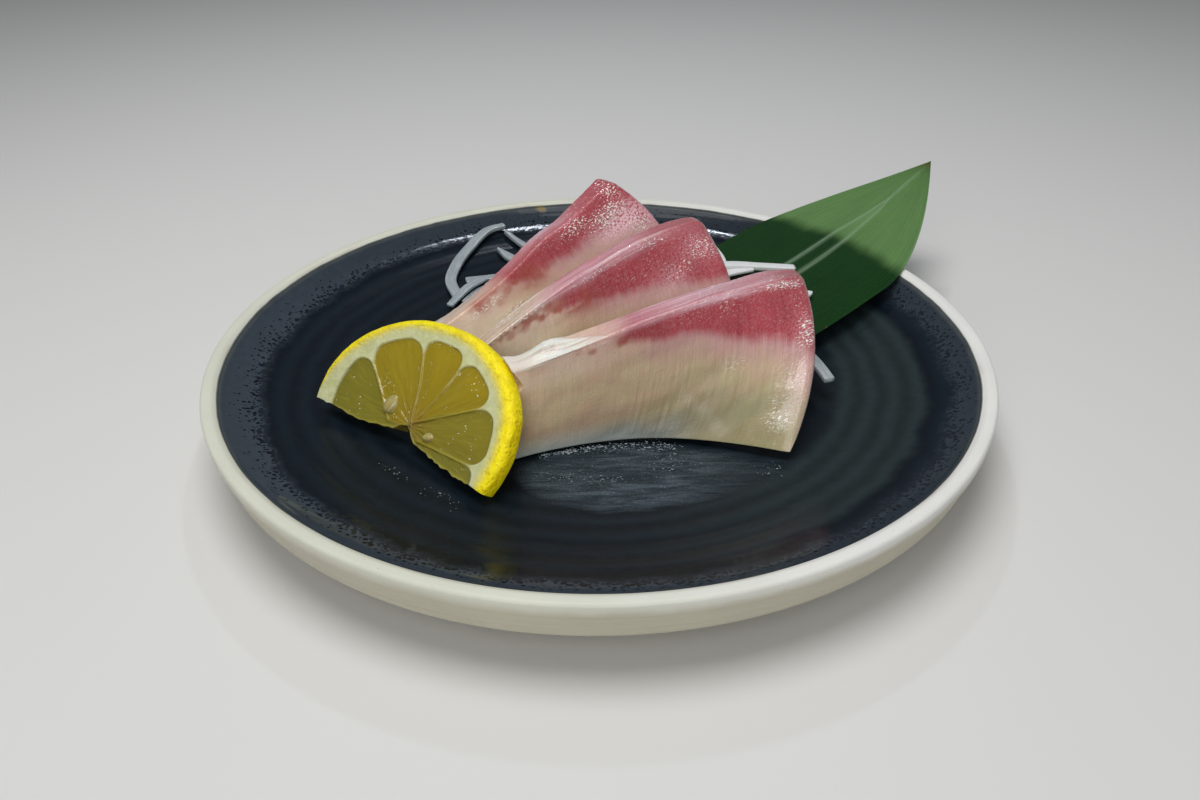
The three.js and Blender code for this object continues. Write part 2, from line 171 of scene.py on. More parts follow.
# Width of the strip past the lemon's edge where the fish still yields to it.
LEMON_PRESS = 0.9
# The core's place across and up the face, the round of the rind's corners, and how far the rind bulges.
LEMON_CORE = (-1.2, 0.5)
LEMON_CORNER = 1.3
RIND_BULGE = 0.5
# The two cuts, from the notch between them out to the rind, as places across and up the cut face, their
# length, and the share of the turn over which the sections bend to them.
RIGHT_CUT = (
    (-1.9, 0.6), (0.1, -1.3), (2.3, -2.9), (7, -3.5), (13.7, -4.5), (18.3, -4.8), (23.5, -4.7), (29.2, -5.2),
)
LEFT_CUT = ((-1.9, 0.6), (-2.8, 0), (-5.2, -1.5), (-8.8, -2.3), (-15.3, -3.7), (-25, -3.2), (-29.5, -3.3))
CUT_LENGTH = 30.6
CUT_BLEND = 0.25
# Where the yellow of the rind starts, out from the middle, by the angle round the slice.
PEEL_START = ((-40, 27.8), (-14, 27.3), (6, 26.2), (35, 26.3), (80, 27.6), (190, 28))
# Places on the cut face, across and up it. A membrane runs from the pith in to the core.
MEMBRANES = (
    ((-21.5, 13.4), (-18.1, 10.1), (-12.6, 4.5), (-7.9, -0.6)),
    ((-7.7, 21.9), (-6.5, 18.7), (-3.4, 10.5), (-1.2, 1.5)),
    ((7.2, 21.2), (6, 18.1), (3.7, 10.6), (-0.2, 1.5)),
    ((21, 13.6), (17.5, 11.7), (10.1, 7.5), (0, 1.7)),
    ((26, -1), (22.2, -1.2), (11.5, -1.6), (3, -1.9)),
)
# Each segment, from the left: how far out it reaches and how green it is. Then the round of its corners,
# and how far out the cut edge is ragged.
SEGMENT_REACH = (25.4, 25.2, 25.2, 24.7, 24.9, 24.6)
SEGMENT_GREEN = (0.9, 0.1, 0.0, 0.05, 0.7, 1.0)
SEGMENT_CORNER = 4.4
JUICE_REACH = 25
PIPS = (
    dict(place=(-8.7, 3.2), size=(3.9, 5.4, 2.6), turn=-14, deep=0.55),
    dict(place=(5.6, 0.1), size=(3.4, 2.3, 1.8), turn=16, deep=0.4),
)

# The blade: its tip, its heading and half width, how far back from the tip it widens, by a power on each
# side, its length, its height at the stem and at the tip, and how far back it comes down, by a power.
LEAF = dict(
    tip=(112.1, 89.3), heading=40.9, half_width=28, taper=61.5, left=1.6, right=1.5, length=97,
    low=10.8, high=35.6, ramp=55.3, power=1.04, thick=0.36,
)
# Distance from one fine vein, and from one rib, to the next.
VEIN_SPACING = 1.15
RIB_SPACING = 2.6
# Distances from the plate's middle over which the leaf turns from deep to bright green: painted shade over
# the plate and painted light beyond its rim, where light comes through the leaf.
LEAF_BRIGHTENS = (93, 100)
# The two pale folds, as places back from the tip and to the side. Their pale colour is partly the folds' own
# and partly a painted highlight along them.
LEAF_FOLDS = (
    ((0, -0.09), (4.1, -0.09), (25.1, 0.06), (44.4, 0.13), (65.7, 0.11), (97, 0.1)),
    ((0, 0.1), (14.1, 0.09), (27, -0.03), (45.1, -0.07), (69.6, -0.1), (97, -0.12)),
)

# Loose shreds: x, y and the height of the underside above the well at each point of the path.
SHREDS = {
    "curl": ((-42.6, 38.7, 0), (-46.3, 49, 0.1), (-45.6, 60, 0.2), (-42, 71.3, 0.3), (-37.6, 79.4, 0.5),
             (-31.6, 83.2, 0.7)),
    "short": ((-31.6, 80.2, 0.6), (-26, 74.5, 0.3), (-20, 69, 0.1)),
    "pointed": ((-33.6, 70.7, 0.2), (-29.4, 66.5, 0.1), (-23, 60, 0)),
    "on_leaf": ((24, 34, 9.4), (31, 39, 9.1), (39.2, 42.4, 8.6), (49, 42.5, 7.6), (60, 41.7, 6.7)),
    "right": ((43, 12.5, 7.4), (48.3, 5, 7.1), (52.3, -2.5, 6.6), (55.8, -11.5, 5.7), (58, -18.6, 4.4)),
}
# Width of each along its path.
SHRED_WIDTHS = {
    "curl": (3.3, 3.6, 3.7, 3.5, 3.2, 2.5), "short": (1.1, 2.3, 3.1), "pointed": (0.5, 3.4, 4.6),
    "on_leaf": (3, 3.4, 3.5, 3.3, 3), "right": (3.1, 3.1, 3.1, 3, 2.9),
}
SHRED_THICK = 1.5
# Ends of shreds that stick out from under the fish: the path as above, then the width at both ends.
LOOSE_ENDS = (
    (((-41.8, 50, 0.2), (-37, 51.3, 0.4), (-30, 53.5, 0.5)), 3.9, 2.6),
    (((-36, 49.6, 1.6), (-40.6, 42, 1.8), (-44.8, 33.5, 0.4)), 3.4, 2.4),
    (((-31, 47, 0.2), (-36.5, 44.5, 0.2), (-40.5, 36, 0.2)), 3, 2.6),
    (((-28, 40, 0.3), (-37, 34, 0.2), (-43, 26.5, 0.1)), 2.8, 2),
    (((37, 58, 7), (38.6, 51, 6.9), (39, 43, 6.7)), 1.6, 1.8),
    (((36, 39, 7.8), (40.4, 39.8, 8), (47, 41.4, 7.8)), 5.8, 2.6),
    (((54, 28.5, 6.8), (58, 27, 6.8), (61.6, 25, 6.9)), 2.6, 3),
)
# How milky the two shreds at the right are, the length of a shred in the heap, how deep it is sunk, and how
# far inside the heap's outline the core is.
SHRED_MILKY = {"on_leaf": 1.35, "right": 0.3}
HEAP_LENGTH = (20, 46)
HEAP_SINK = (0.75, 2.3)
CORE_INSET = 1.9

# The film of water: its edge at the front and its edge along the fish.
FILM_NEAR = ((-20, -49), (-14, -58), (0, -63.5), (16, -62), (32, -56), (44, -50), (50, -45.5))
FILM_FAR = ((-20, -46), (-10, -39.6), (2, -36.8), (14, -36.3), (28, -38.6), (40, -42.6), (50, -45))
# Lines of beads: both ends, how far the beads stray, and the line's share of them.
BEAD_LINES = (
    (-14, -41.3, -6, -38.8, 0.5, 1.4), (-6, -38.8, 4, -37.2, 0.9, 1.8), (4, -37.2, 18, -37.5, 1.2, 2.2),
    (-12, -49, 6, -51, 1.3, 1.5), (12, -45, 21, -43, 2.2, 1.2), (-50, -46, -44, -50, 0.9, 0.2),
    (-42, -53, -30, -61, 1, 0.25), (36, -49, 42, -47, 1.3, 0.25),
)

# The stage, in metres: half the floor's side, and each light's name, which its power has too, its size,
# place and colour.
FLOOR_HALF = 1.5
LIGHTS = (
    ("overhead", 0.42, (-0.06, -0.04, 0.68), (1, 1, 1)),
    ("behind", 0.038, (0.0, 0.487, 0.65), (0.82, 0.88, 1)),
    ("front", 0.6, (-0.1, -0.6, 0.4), (1, 1, 1)),
)


# ---- settings ----


def tone(red, green, blue):
    """The linear colour of three 8-bit display levels."""
    levels = np.array([red, green, blue]) / 255
    linear = np.where(levels <= 0.04045, levels / 12.92, ((levels + 0.055) / 1.055) ** 2.4)
    return tuple(float(level) for level in linear)


def colour(name, description, *levels):
    """A colour setting with its default in 8-bit display levels."""
    return FloatVectorProperty(
        name=name, description=description, subtype="COLOR", size=3, min=0, max=1, default=tone(*levels)
    )


def length(name, description, default):
    """A length setting with its default in millimetres."""
    return FloatProperty(name=name, description=description, unit="LENGTH", min=0, default=default * MM)


def power(name, description, default):
    """A light's power in watts."""
    return FloatProperty(name=name, description=description, unit="POWER", min=0, default=default)


class PlateSettings(bpy.types.PropertyGroup):
    """Sizes and colours of the stoneware plate."""

    glaze: colour("Glaze", "Dark glaze in the well", 21, 30, 38)
    slate: colour("Slate", "Paler glaze where it runs thin up the wall", 63, 72, 82)
    moss: colour("Moss", "Faint green-grey ring in the glaze", 42, 52, 54)
    rim: colour("Rim", "Bare pale rim", 218, 219, 203)
    # The wall colour is darker than the rim's: partly the bare clay's own tone, partly painted shade where
    # the wall faces away from the light.
    wall: colour("Wall", "Bare outside under the rim", 196, 191, 172)
    ring_depth: length("Ring depth", "Height of the throwing rings in the well", 0.035)
    ring_spacing: length("Ring spacing", "Distance from one throwing ring to the next", 5.8)


class FishSettings(bpy.types.PropertyGroup):
    """Sizes and colours of the fish slices."""

    flesh: colour("Flesh", "Pale belly flesh", 228, 205, 166)
    rosy: colour("Rosy", "Pinker patches of the flesh", 222, 190, 160)
    # The olive tint is partly the lower flesh's own yellow-green and partly painted shade low on the face.
    olive: colour("Olive", "Yellow-green tint of the lower flesh", 160, 151, 108)
    clear: colour("Clear", "Grey translucent flesh at the foot", 214, 222, 216)
    blush: colour("Blush", "Grey-pink flesh beside the red muscle", 204, 152, 156)
    red: colour("Red", "Red muscle under the skin", 172, 50, 64)
    rust: colour("Rust", "Brown-red blots towards the narrow end", 176, 92, 76)
    silver: colour("Silver", "Silvery pink skin side", 238, 208, 218)
    fat: colour("Fat", "White fat and connective tissue", 250, 246, 236)
    wave: length("Wave", "Height of the soft waves in a slice's faces", 0.3)


class LemonSettings(bpy.types.PropertyGroup):
    """Colours of the lemon slice."""

    rind: colour("Rind", "Yellow peel", 255, 236, 10)
    pith: colour("Pith", "White under the peel", 210, 212, 156)
    pulp: colour("Pulp", "Juicy segments in the middle", 164, 142, 18)
    green: colour("Green pulp", "Segments at the two ends", 132, 126, 36)
    membrane: colour("Membrane", "Walls between the segments", 194, 182, 84)
    pip: colour("Pip", "Pips", 186, 172, 104)


class LeafSettings(bpy.types.PropertyGroup):
    """Sizes and colours of the leaf."""

    # The deep and bright greens are the leaf's colour with painted shade over the plate and painted light
    # beyond the rim.
    deep: colour("Deep green", "Blade over the plate", 12, 52, 12)
    bright: colour("Bright green", "Blade towards the tip", 90, 124, 72)
    vein: colour("Vein", "Pale fold lines and edge", 146, 172, 140)
    tip: colour("Tip", "Dried tip and edge spots", 128, 118, 70)
    crease: length("Crease", "Height of the two fold lines", 0.35)


class RadishSettings(bpy.types.PropertyGroup):
    """Number and colours of the radish shreds."""

    flesh: colour("Radish", "Translucent flesh", 140, 150, 157)
    thread: colour("Threads", "White threads along a shred", 218, 226, 225)
    count: IntProperty(name="Shreds", description="Number of shreds in the heap", min=1, default=420)
    width: length("Width", "Mean width of a shred in the heap", 2.4)
    thick: length("Thickness", "Mean thickness of a shred in the heap", 1.4)


class WaterSettings(bpy.types.PropertyGroup):
    """Size of the water drops and colour of the film."""

    # The film's grey is a painted reflection on the water.
    film: colour("Film", "Cloudy water on the glaze", 92, 106, 114)
    # The beads' pale colour stands for glints: painted highlights on the wet glaze.
    bead: colour("Bead", "Fine beads of water and froth", 168, 178, 182)
    depth: length("Depth", "Depth of the film", 0.14)
    drops: IntProperty(name="Drops", description="Number of small drops", min=1, default=900)
    drop: length("Drop", "Mean radius of a drop", 0.075)


class StageSettings(bpy.types.PropertyGroup):
    """Floor, light and camera."""

    floor: colour("Floor", "Plain pale floor", 226, 225, 222)
    room: FloatProperty(name="Room", description="Strength of the light from all round", min=0, default=0.16)
    overhead: power("Overhead", "Power of the light overhead", 2.5)
    behind: power("Behind", "Power of the small light behind", 0.5)
    front: power("Front", "Power of the light in front", 1.6)
    place: FloatVectorProperty(
        name="Camera", description="Place of the camera", subtype="TRANSLATION", size=3,
        default=(0, -0.21926, 0.13961),
    )
    turn: FloatVectorProperty(
        name="Camera turn", description="Turn of the camera", subtype="EULER", size=3,
        default=tuple(math.radians(angle) for angle in (57.27, 0.3466, -0.2707)),
    )
    lens: FloatProperty(name="Lens", description="Focal length", unit="CAMERA", min=1, default=28.177)


SETTINGS = {
    "sashimi_stoneware": PlateSettings,
    "sashimi_fish": FishSettings,
    "sashimi_lemon": LemonSettings,
    "sashimi_leaf": LeafSettings,
    "sashimi_radish": RadishSettings,
    "sashimi_water": WaterSettings,
    "sashimi_stage": StageSettings,
}

# ---- arrays ----


def blend(a, b, t):
    """The point t of the way from a to b."""
    return a + (b - a) * t


def ease(low, high, value):
    """0 below low, 1 above high, and 3t^2 - 2t^3 between them."""
    t = np.clip((value - low) / (high - low), 0, 1)
    return t * t * (3 - 2 * t)


def hump(value, width):
    """1 at zero, falling off on both sides as exp(-(value / width)^2)."""
    return np.exp(-((value / width) ** 2))


def read(table, place):
    """A table of places and values at a place, along straight stretches."""
    return np.interp(place, *zip(*table))


def stack(*parts):
    """Vectors from their coordinates, which are given at shapes that fit together."""
    return np.stack(np.broadcast_arrays(*parts), -1)


def lattice_height(cell, seed):
    """A repeatable number from -1 to 1 for each whole-number cell: its coordinates mixed as bits."""
    key = cell[..., 0] * 73856093 ^ cell[..., 1] * 19349663 ^ cell[..., 2] * 83492791 ^ (seed + 7) * 2654435
    key = ((key ^ (key >> 13)) & 0x7FFFFFFF) * 1274126177
    return ((key >> 16) & 0xFFFF) / 32767.5 - 1


def lumps(points, size, seed):
    """Smooth noise from -1 to 1: lattice heights at the given spacing, eased between the eight corners."""
    scaled = points / np.asarray(size, float)
    cell = np.floor(scaled).astype(np.int64)
    part = scaled - cell
    part = part * part * (3 - 2 * part)
    total = 0
    for corner in np.ndindex(2, 2, 2):
        weight = np.prod(np.where(np.array(corner) == 1, part, 1 - part), axis=-1)
        total = total + weight * lattice_height(cell + np.array(corner), seed)
    return total


def smooth_path(points, count):
    """A cubic path through the points, which passes each along the chord of its two neighbours."""
    points = np.asarray(points, float)
    slopes = np.gradient(points, axis=0)
    place = np.linspace(0, len(points) - 1, count)
    start = np.minimum(place.astype(int), len(points) - 2)
    t = (place - start)[:, None]
    a, b, da, db = points[start], points[start + 1], slopes[start], slopes[start + 1]
    leave = a * (1 + 2 * t) * (1 - t) ** 2 + da * t * (1 - t) ** 2
    return leave + b * t * t * (3 - 2 * t) + db * t * t * (t - 1)


def line_distance(x, y, line):
    """Distance from each x, y to the nearest point of a line of straight stretches."""
    line = np.asarray(line, float)
    nearest = np.full(np.shape(x), np.inf)
    for (ax, ay), (bx, by) in zip(line[:-1], line[1:]):
        dx, dy = bx - ax, by - ay
        t = np.clip(((x - ax) * dx + (y - ay) * dy) / (dx * dx + dy * dy), 0, 1)
        nearest = np.minimum(nearest, np.hypot(x - ax - t * dx, y - ay - t * dy))
    return nearest


def unit(vectors):
    """The vectors at length one."""
    return vectors / np.maximum(np.linalg.norm(vectors, axis=-1, keepdims=True), 1e-12)


def grid_normals(points):
    """Outward normals of a closed loft: the cross product of its two tangents, turned to point away."""
    along = np.gradient(points, axis=0)
    around = np.roll(points, -1, axis=1) - np.roll(points, 1, axis=1)
    normals = unit(np.cross(along, around))
    away = np.sum(normals * (points - points.mean(axis=1, keepdims=True)))
    return normals * np.sign(away)


# ---- meshes ----


def loft_faces(rows, around):
    """Four-sided faces of a closed loft: between neighbouring rings, and a cap at each end that joins
    each point of the ring to its partner across the ring."""
    ring = np.arange(around)
    row = np.arange(rows - 1)[:, None] * around
    after = (ring + 1) % around
    sides = stack(row + ring, row + after, row + around + after, row + around + ring)
    half = np.arange(around // 2 - 1)
    first = np.stack([half, around - 1 - half, around - 2 - half, half + 1], -1)
    last = first[:, ::-1] + (rows - 1) * around
    return np.concatenate([sides.reshape(-1, 4), first, last])


def weld(points, faces, layers):
    """Joins points that coincide. A face that loses a corner is a triangle, and one that loses more goes."""
    keys = np.round(points * 5000).astype(np.int64)
    _, first, inverse = np.unique(keys, axis=0, return_index=True, return_inverse=True)
    faces = inverse.reshape(-1)[faces]
    kept = faces != np.roll(faces, 1, axis=1)
    kept &= ~((faces == np.roll(faces, 2, axis=1)).any(axis=1))[:, None]
    sizes = kept.sum(axis=1)
    whole = sizes > 2
    return points[first], faces[whole], kept[whole], {name: layer[first] for name, layer in layers.items()}


def enclosed(points, faces):
    """Volume enclosed by four-sided faces, negative where they face inwards."""
    a, b, c, d = (points[faces[:, corner]] for corner in range(4))
    return np.sum(np.cross(a, b) * c + np.cross(a, c) * d) / 6


def add_piece(name, points, faces, material, slot=None, layers=None, replaces=None, crease=50):
    """Makes a piece from points in millimetres. layers are values or vectors held at the points."""
    points = np.asarray(points, float).reshape(-1, 3)
    layers = {key: np.asarray(layer, float).reshape(len(points), -1) for key, layer in (layers or {}).items()}
    if enclosed(points, faces) < 0:
        faces = faces[:, ::-1]
    points, faces, kept, layers = weld(points, faces, layers)
    mesh = bpy.data.meshes.new(name)
    mesh.vertices.add(len(points))
    mesh.vertices.foreach_set("co", (points * MM).astype(np.float32).ravel())
    sizes = kept.sum(axis=1)
    mesh.loops.add(int(sizes.sum()))
    mesh.loops.foreach_set("vertex_index", faces[kept].astype(np.int32))
    mesh.polygons.add(len(faces))
    mesh.polygons.foreach_set("loop_start", (np.cumsum(sizes) - sizes).astype(np.int32))
    mesh.update(calc_edges=True)
    for key, layer in layers.items():
        kind, field = ("FLOAT_VECTOR", "vector") if layer.shape[1] == 3 else ("FLOAT", "value")
        mesh.attributes.new(key, kind, "POINT").data.foreach_set(field, layer.astype(np.float32).ravel())
    mesh.shade_smooth()
    mesh.set_sharp_from_angle(angle=math.radians(crease))
    mesh.materials.append(material)
    piece = bpy.data.objects.new(name, mesh)
    bpy.context.scene.collection.objects.link(piece)
    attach(piece, BODY)
    if replaces:
        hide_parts(replaces)
    return piece


def add_loft(name, rings, *details):
    """Makes a piece from one closed loft, or from several with the same number of rows and points around."""
    rings = rings.reshape(-1, *rings.shape[-3:])
    count, rows, around = rings.shape[:3]
    faces = loft_faces(rows, around) + (np.arange(count) * rows * around)[:, None, None]
    return add_piece(name, rings, faces.reshape(-1, 4), *details)


# ---- materials ----


class Amount:
    """A socket that holds a number. An expression on amounts adds its Math nodes."""

    def __init__(self, finish, socket):
        self.finish = finish
        self.socket = socket

    def math(self, operation, *others):
        """A Math node with this amount first."""
        return self.finish.math(operation, self, *others)

    def __add__(self, other):
        return self.finish.math("ADD", self, other)

    def __sub__(self, other):
        return self.finish.math("SUBTRACT", self, other)

    def __rsub__(self, other):
        return self.finish.math("SUBTRACT", other, self)

    def __mul__(self, other):
        return self.finish.math("MULTIPLY", self, other)

    def __pow__(self, other):
        return self.finish.math("POWER", self, other)

    __radd__ = __add__
    __rmul__ = __mul__

    def ramp(self, low, high):
        """0 at low and 1 at high, eased between them."""
        sockets = {0: self, 1: low, 2: high, 3: 0.0, 4: 1.0}
        node = self.finish.node("ShaderNodeMapRange", {"interpolation_type": "SMOOTHSTEP"}, sockets)
        return Amount(self.finish, node.outputs[0])


class Finish:
    """One material: a Principled shader and the nodes that feed it."""

    def __init__(self, name, **constants):
        self.material = bpy.data.materials.new(name)
        self.material.use_nodes = True
        self.tree = self.material.node_tree
        self.shader = self.tree.nodes["Principled BSDF"]
        for socket, value in constants.items():
            self.shader.inputs[socket.replace("_", " ")].default_value = value

    def node(self, kind, settings=None, sockets=None):
        """A node of a kind, with its settings and then the values or links of its sockets."""
        node = self.tree.nodes.new(kind)
        for key, value in (settings or {}).items():
            setattr(node, key, value)
        for key, value in (sockets or {}).items():
            value = value.socket if isinstance(value, Amount) else value
            if isinstance(value, bpy.types.NodeSocket):
                self.tree.links.new(value, node.inputs[key])
            elif node.inputs[key].type == "RGBA":
                node.inputs[key].default_value = (*value, 1)
            else:
                node.inputs[key].default_value = value
        return node

    def math(self, operation, *values):
        """A Math node on amounts and numbers."""
        node = self.node("ShaderNodeMath", {"operation": operation}, dict(enumerate(values)))
        return Amount(self, node.outputs[0])

    def vector(self, operation, *values, **named):
        """A Vector Math node."""
        sockets = {**dict(enumerate(values)), **named}
        return self.node("ShaderNodeVectorMath", {"operation": operation}, sockets).outputs[0]

    def place(self):
        """Object coordinates in millimetres."""
        found = self.node("ShaderNodeTexCoord").outputs["Object"]
        return self.vector("SCALE", found, Scale=1 / MM)

    def parts(self, vector):
        """The three numbers of a vector."""
        node = self.node("ShaderNodeSeparateXYZ", None, {0: vector})
        return [Amount(self, output) for output in node.outputs]

    def layer(self, name):
        """A value held at the piece's points."""
        return Amount(self, self.node("ShaderNodeAttribute", {"attribute_name": name}).outputs["Fac"])

    def layers(self, *names):
        """Several such values."""
        return [self.layer(name) for name in names]

    def layer_vector(self, name):
        """A vector held at the piece's points."""
        return self.node("ShaderNodeAttribute", {"attribute_name": name}).outputs["Vector"]

    def noise(self, vector, size, detail=2.0, rough=0.5, warp=0.0):
        """Noise from 0 to 1 with lumps of about the given size, or sizes along the three axes."""
        if not isinstance(size, (int, float)):
            vector = self.vector("DIVIDE", vector, tuple(size))
            size = 1
        sockets = dict(Vector=vector, Scale=1 / size, Detail=detail, Roughness=rough, Distortion=warp)
        return Amount(self, self.node("ShaderNodeTexNoise", None, sockets).outputs["Fac"])

    def cells(self, vector, size):
        """Distance to the middle of the nearest of many cells of the given size, in cell sizes."""
        node = self.node("ShaderNodeTexVoronoi", {"feature": "F1"}, {"Vector": vector, "Scale": 1 / size})
        return Amount(self, node.outputs["Distance"])

    def mix(self, amount, low, high):
        """Colour low where amount is 0, high where it is 1."""
        settings = {"data_type": "RGBA", "clamp_factor": True}
        return self.node("ShaderNodeMix", settings, {0: amount, 6: low, 7: high}).outputs[2]

    def cover(self, base, *coats):
        """The base colour with others over it in turn, each where its amount is 1."""
        for amount, over in coats:
            base = self.mix(amount, base, over)
        return base

    def tint(self, colour_in, amount):
        """The colour times an amount."""
        return self.vector("SCALE", colour_in, Scale=amount)

    def bumps(self, *reliefs):
        """Bump nodes one on another, each for a height from 0 to 1 and the millimetres that 1 stands for."""
        before = {}
        for height, depth in reliefs:
            sockets = {"Height": height, "Distance": depth * MM, "Strength": 1.0, **before}
            before = {"Normal": self.node("ShaderNodeBump", None, sockets).outputs[0]}
        return before["Normal"]

    def feed(self, **sockets):
        """Links what varies to the shader's sockets, and gives the material."""
        for key, value in sockets.items():
            value = value.socket if isinstance(value, Amount) else value
            self.tree.links.new(value, self.shader.inputs[key.replace("_", " ")])
        return self.material


# ---- the plate ----


def well_height(x, y):
    """Height of the glazed inside at a place, by its distance from the middle."""
    return read(WELL, np.hypot(x, y))


def plate_profile():
    """The plate's outline from the middle of the well over the rim to the middle of the foot, as radius and
    height: smooth curves, with a quarter circle for the rim's outer corner and a foot ring cut square."""
    well = smooth_path(WELL, WELL_ROWS)
    corner_angle = np.linspace(math.pi / 2, 0, 9)
    middle = np.array([PLATE_RADIUS - RIM_CORNER, RIM_TOP[-1][1] - RIM_CORNER])
    corner = middle + RIM_CORNER * np.stack([np.cos(corner_angle), np.sin(corner_angle)], -1)
    top = smooth_path((well[-1], *RIM_TOP, corner[0]), 14)[1:-1]
    wall = smooth_path((corner[-1], *WALL), 30)[1:]
    under = smooth_path(UNDERSIDE, 34)
    ring = np.array(FOOT_RING, float)
    steps = [np.linspace(a, b, 6)[1:] for a, b in zip(ring[:-1], ring[1:])]
    return np.concatenate([well, top, corner, wall, under, ring[:1], *steps])


def plate_points(settings, around=320):
    """The outline carried round a full turn. The well has soft throwing rings: a wave in the distance from
    the middle whose place and height drift with the angle. The wall has finer turning lines."""
    profile = plate_profile()
    angle = np.linspace(0, TURN, around, endpoint=False)
    radius = np.repeat(profile[:, :1], around, axis=1)
    height = np.repeat(profile[:, 1:], around, axis=1)
    angle = np.broadcast_to(angle, radius.shape)
    row = np.arange(len(profile))[:, None]
    inside = (row < WELL_ROWS) & (radius < GLAZE_LINE)
    points = stack(radius * np.cos(angle), radius * np.sin(angle), height)
    drift = lumps(points, 38, 3)
    spacing = settings.ring_spacing / MM
    wave = np.sin(TURN * radius / spacing + 1.3 * drift)
    wave = wave + 0.35 * np.sin(TURN * radius / (spacing * 0.43) + drift)
    strength = ease(*RINGS_IN, radius) * (1 - ease(*RINGS_OUT, radius))
    strength = strength * (0.7 + 0.5 * lumps(points, 24, 5))
    height = height + inside * settings.ring_depth / MM * wave * strength
    outside = (row >= WALL_ROW) & (height < RIM_TOP[-1][1] - 3) & (radius > 62)
    line = np.sin(height * 3.1 + 0.8 * lumps(points, (30, 30, 4), 8)) + lumps(points, (26, 26, 2.2), 9)
    radius = radius + outside * 0.07 * line
    points = stack(radius * np.cos(angle), radius * np.sin(angle), height)
    glaze = np.broadcast_to((row < GLAZED_ROWS).astype(float), radius.shape)
    return points, glaze


def stoneware_finish(settings):
    """Dark glaze that thins to slate up the wall, with dark flecks in it, and a bare cream rim, painted paler
    towards the right and darker down the outside wall: painted light and, in part, painted shade.
    """
    finish = Finish("stoneware glaze", IOR=1.2, Coat_Roughness=0.3)
    place = finish.place()
    x, y, z = finish.parts(place)
    radius = (x * x + y * y) ** 0.5
    wander = finish.noise(place, 9, 3.0) - 0.5
    side, far = x * 0.01, (y * 0.01).ramp(0.1, 0.85)
    right = side.ramp(-0.2, 0.6)
    glazed = finish.layer("glaze") * (1 - (radius + wander * 0.4).ramp(*GLAZE_END))
    into = radius - SLATE_START - side * 1.8 + wander * 5
    slate = (into + finish.noise(place, 1.6, 2.0) * 3 - 1.5).ramp(-2.2, 1.6)
    dots = 1 - (finish.cells(place, 1.5) + into * 0.05).ramp(0.4, 0.5)
    dots = dots.math("MAXIMUM", 1 - (finish.cells(place, 0.9) + into * 0.09).ramp(0.42, 0.54))
    flecks = dots * slate * (0.95 - 0.25 * right)
    moss = (radius + wander * 5).ramp(*MOSS_IN) * (1 - (radius + wander * 5).ramp(*MOSS_OUT)) * right
    ring = finish.math("SINE", radius * (TURN * MM / settings.ring_spacing) + wander * 3)
    thin = (radius + wander * 0.8).ramp(*GLAZE_PALES)
    shade = 1 - (1 - right * 0.26) * (1 - far * 0.22) * (1 - 0.16 * thin)
    base = finish.cover(
        settings.glaze,
        (moss * 0.9, settings.moss),
        (slate, finish.mix(shade, settings.slate, tone(0, 0, 0))),
        (flecks, tone(13, 18, 25)),
        (thin * thin * 0.5, tone(120, 126, 122)),
    )
    base = finish.tint(base, 0.92 + 0.15 * ring * (1 - slate) + 0.34 * (finish.noise(place, 2.5, 3.0) - 0.5))
    grain = finish.noise(place, 0.5, 3.0)
    specks = 1 - finish.cells(place, 3.1).ramp(0.03, 0.07)
    turned = finish.noise(place, (40, 40, 0.45), 3.0, 0.6)
    # The bare rim is painted paler towards the right, where more light falls on it: painted light.
    rim = finish.mix(right, settings.rim, tone(236, 235, 230))
    # Down the outside wall the darker wall colour takes over: partly the clay's own tone, partly painted
    # shade.
    rim = finish.mix((z + wander * 2).ramp(16.5, 19.2), settings.wall, rim)
    rim = finish.tint(rim, 0.88 + 0.14 * finish.noise(place, 12, 3.0) + 0.1 * turned)
    stained = (radius + wander * 0.8).ramp(97.2, 96.5) * finish.noise(place, 16).ramp(0.52, 0.7)
    rim = finish.cover(rim, (specks * 0.35, tone(150, 130, 100)), (stained * 0.3, tone(150, 128, 96)))
    aside, behind = (x - CLAY_SPOT[0]) * 0.5, y - CLAY_SPOT[1]
    spot = (1 - ((aside * aside + behind * behind) ** 0.5 + wander * 1.6).ramp(0.5, 1.3)) * 0.7
    surface = finish.cover(rim, (glazed, base), (spot, tone(150, 128, 70)))
    rough = glazed * (-0.2 + 0.03 * ring - 0.16 * radius.ramp(80, 87)) + 0.44 + 0.05 * (grain - 0.5)
    soft = finish.noise(place, 7, 2.0) * glazed
    gritty = (grain + turned * 2) * (1 - glazed) + flecks * -0.8 * glazed
    normal = finish.bumps((soft, 0.08), (gritty, 0.05))
    return finish.feed(Base_Color=surface, Roughness=rough, Normal=normal, Coat_Weight=(1 - glazed) * 0.15)


# ---- the fish ----


def face_width(fish, u):
    """Width of the cut face at u along the slice: from the narrow end's to the wide end's by a power of u,
    and a little more at its belly."""
    place, spread, more = fish["belly"]
    return blend(*fish["width"], np.maximum(u, 0) ** fish["flare"]) + more * hump(u - place, spread)


def face_arc(fish, u, v):
    """Depth, height and slope at v up the cut face: an arc of the face's width that leans and curls."""
    lean = np.radians(blend(*fish["lean"], u))
    curl = np.radians(blend(*fish["curl"], u))
    start = lean + curl / 2
    slope = start - curl * v
    reach = face_width(fish, u) / curl
    return reach * (np.sin(start) - np.sin(slope)), reach * (np.cos(slope) - np.cos(start)), slope


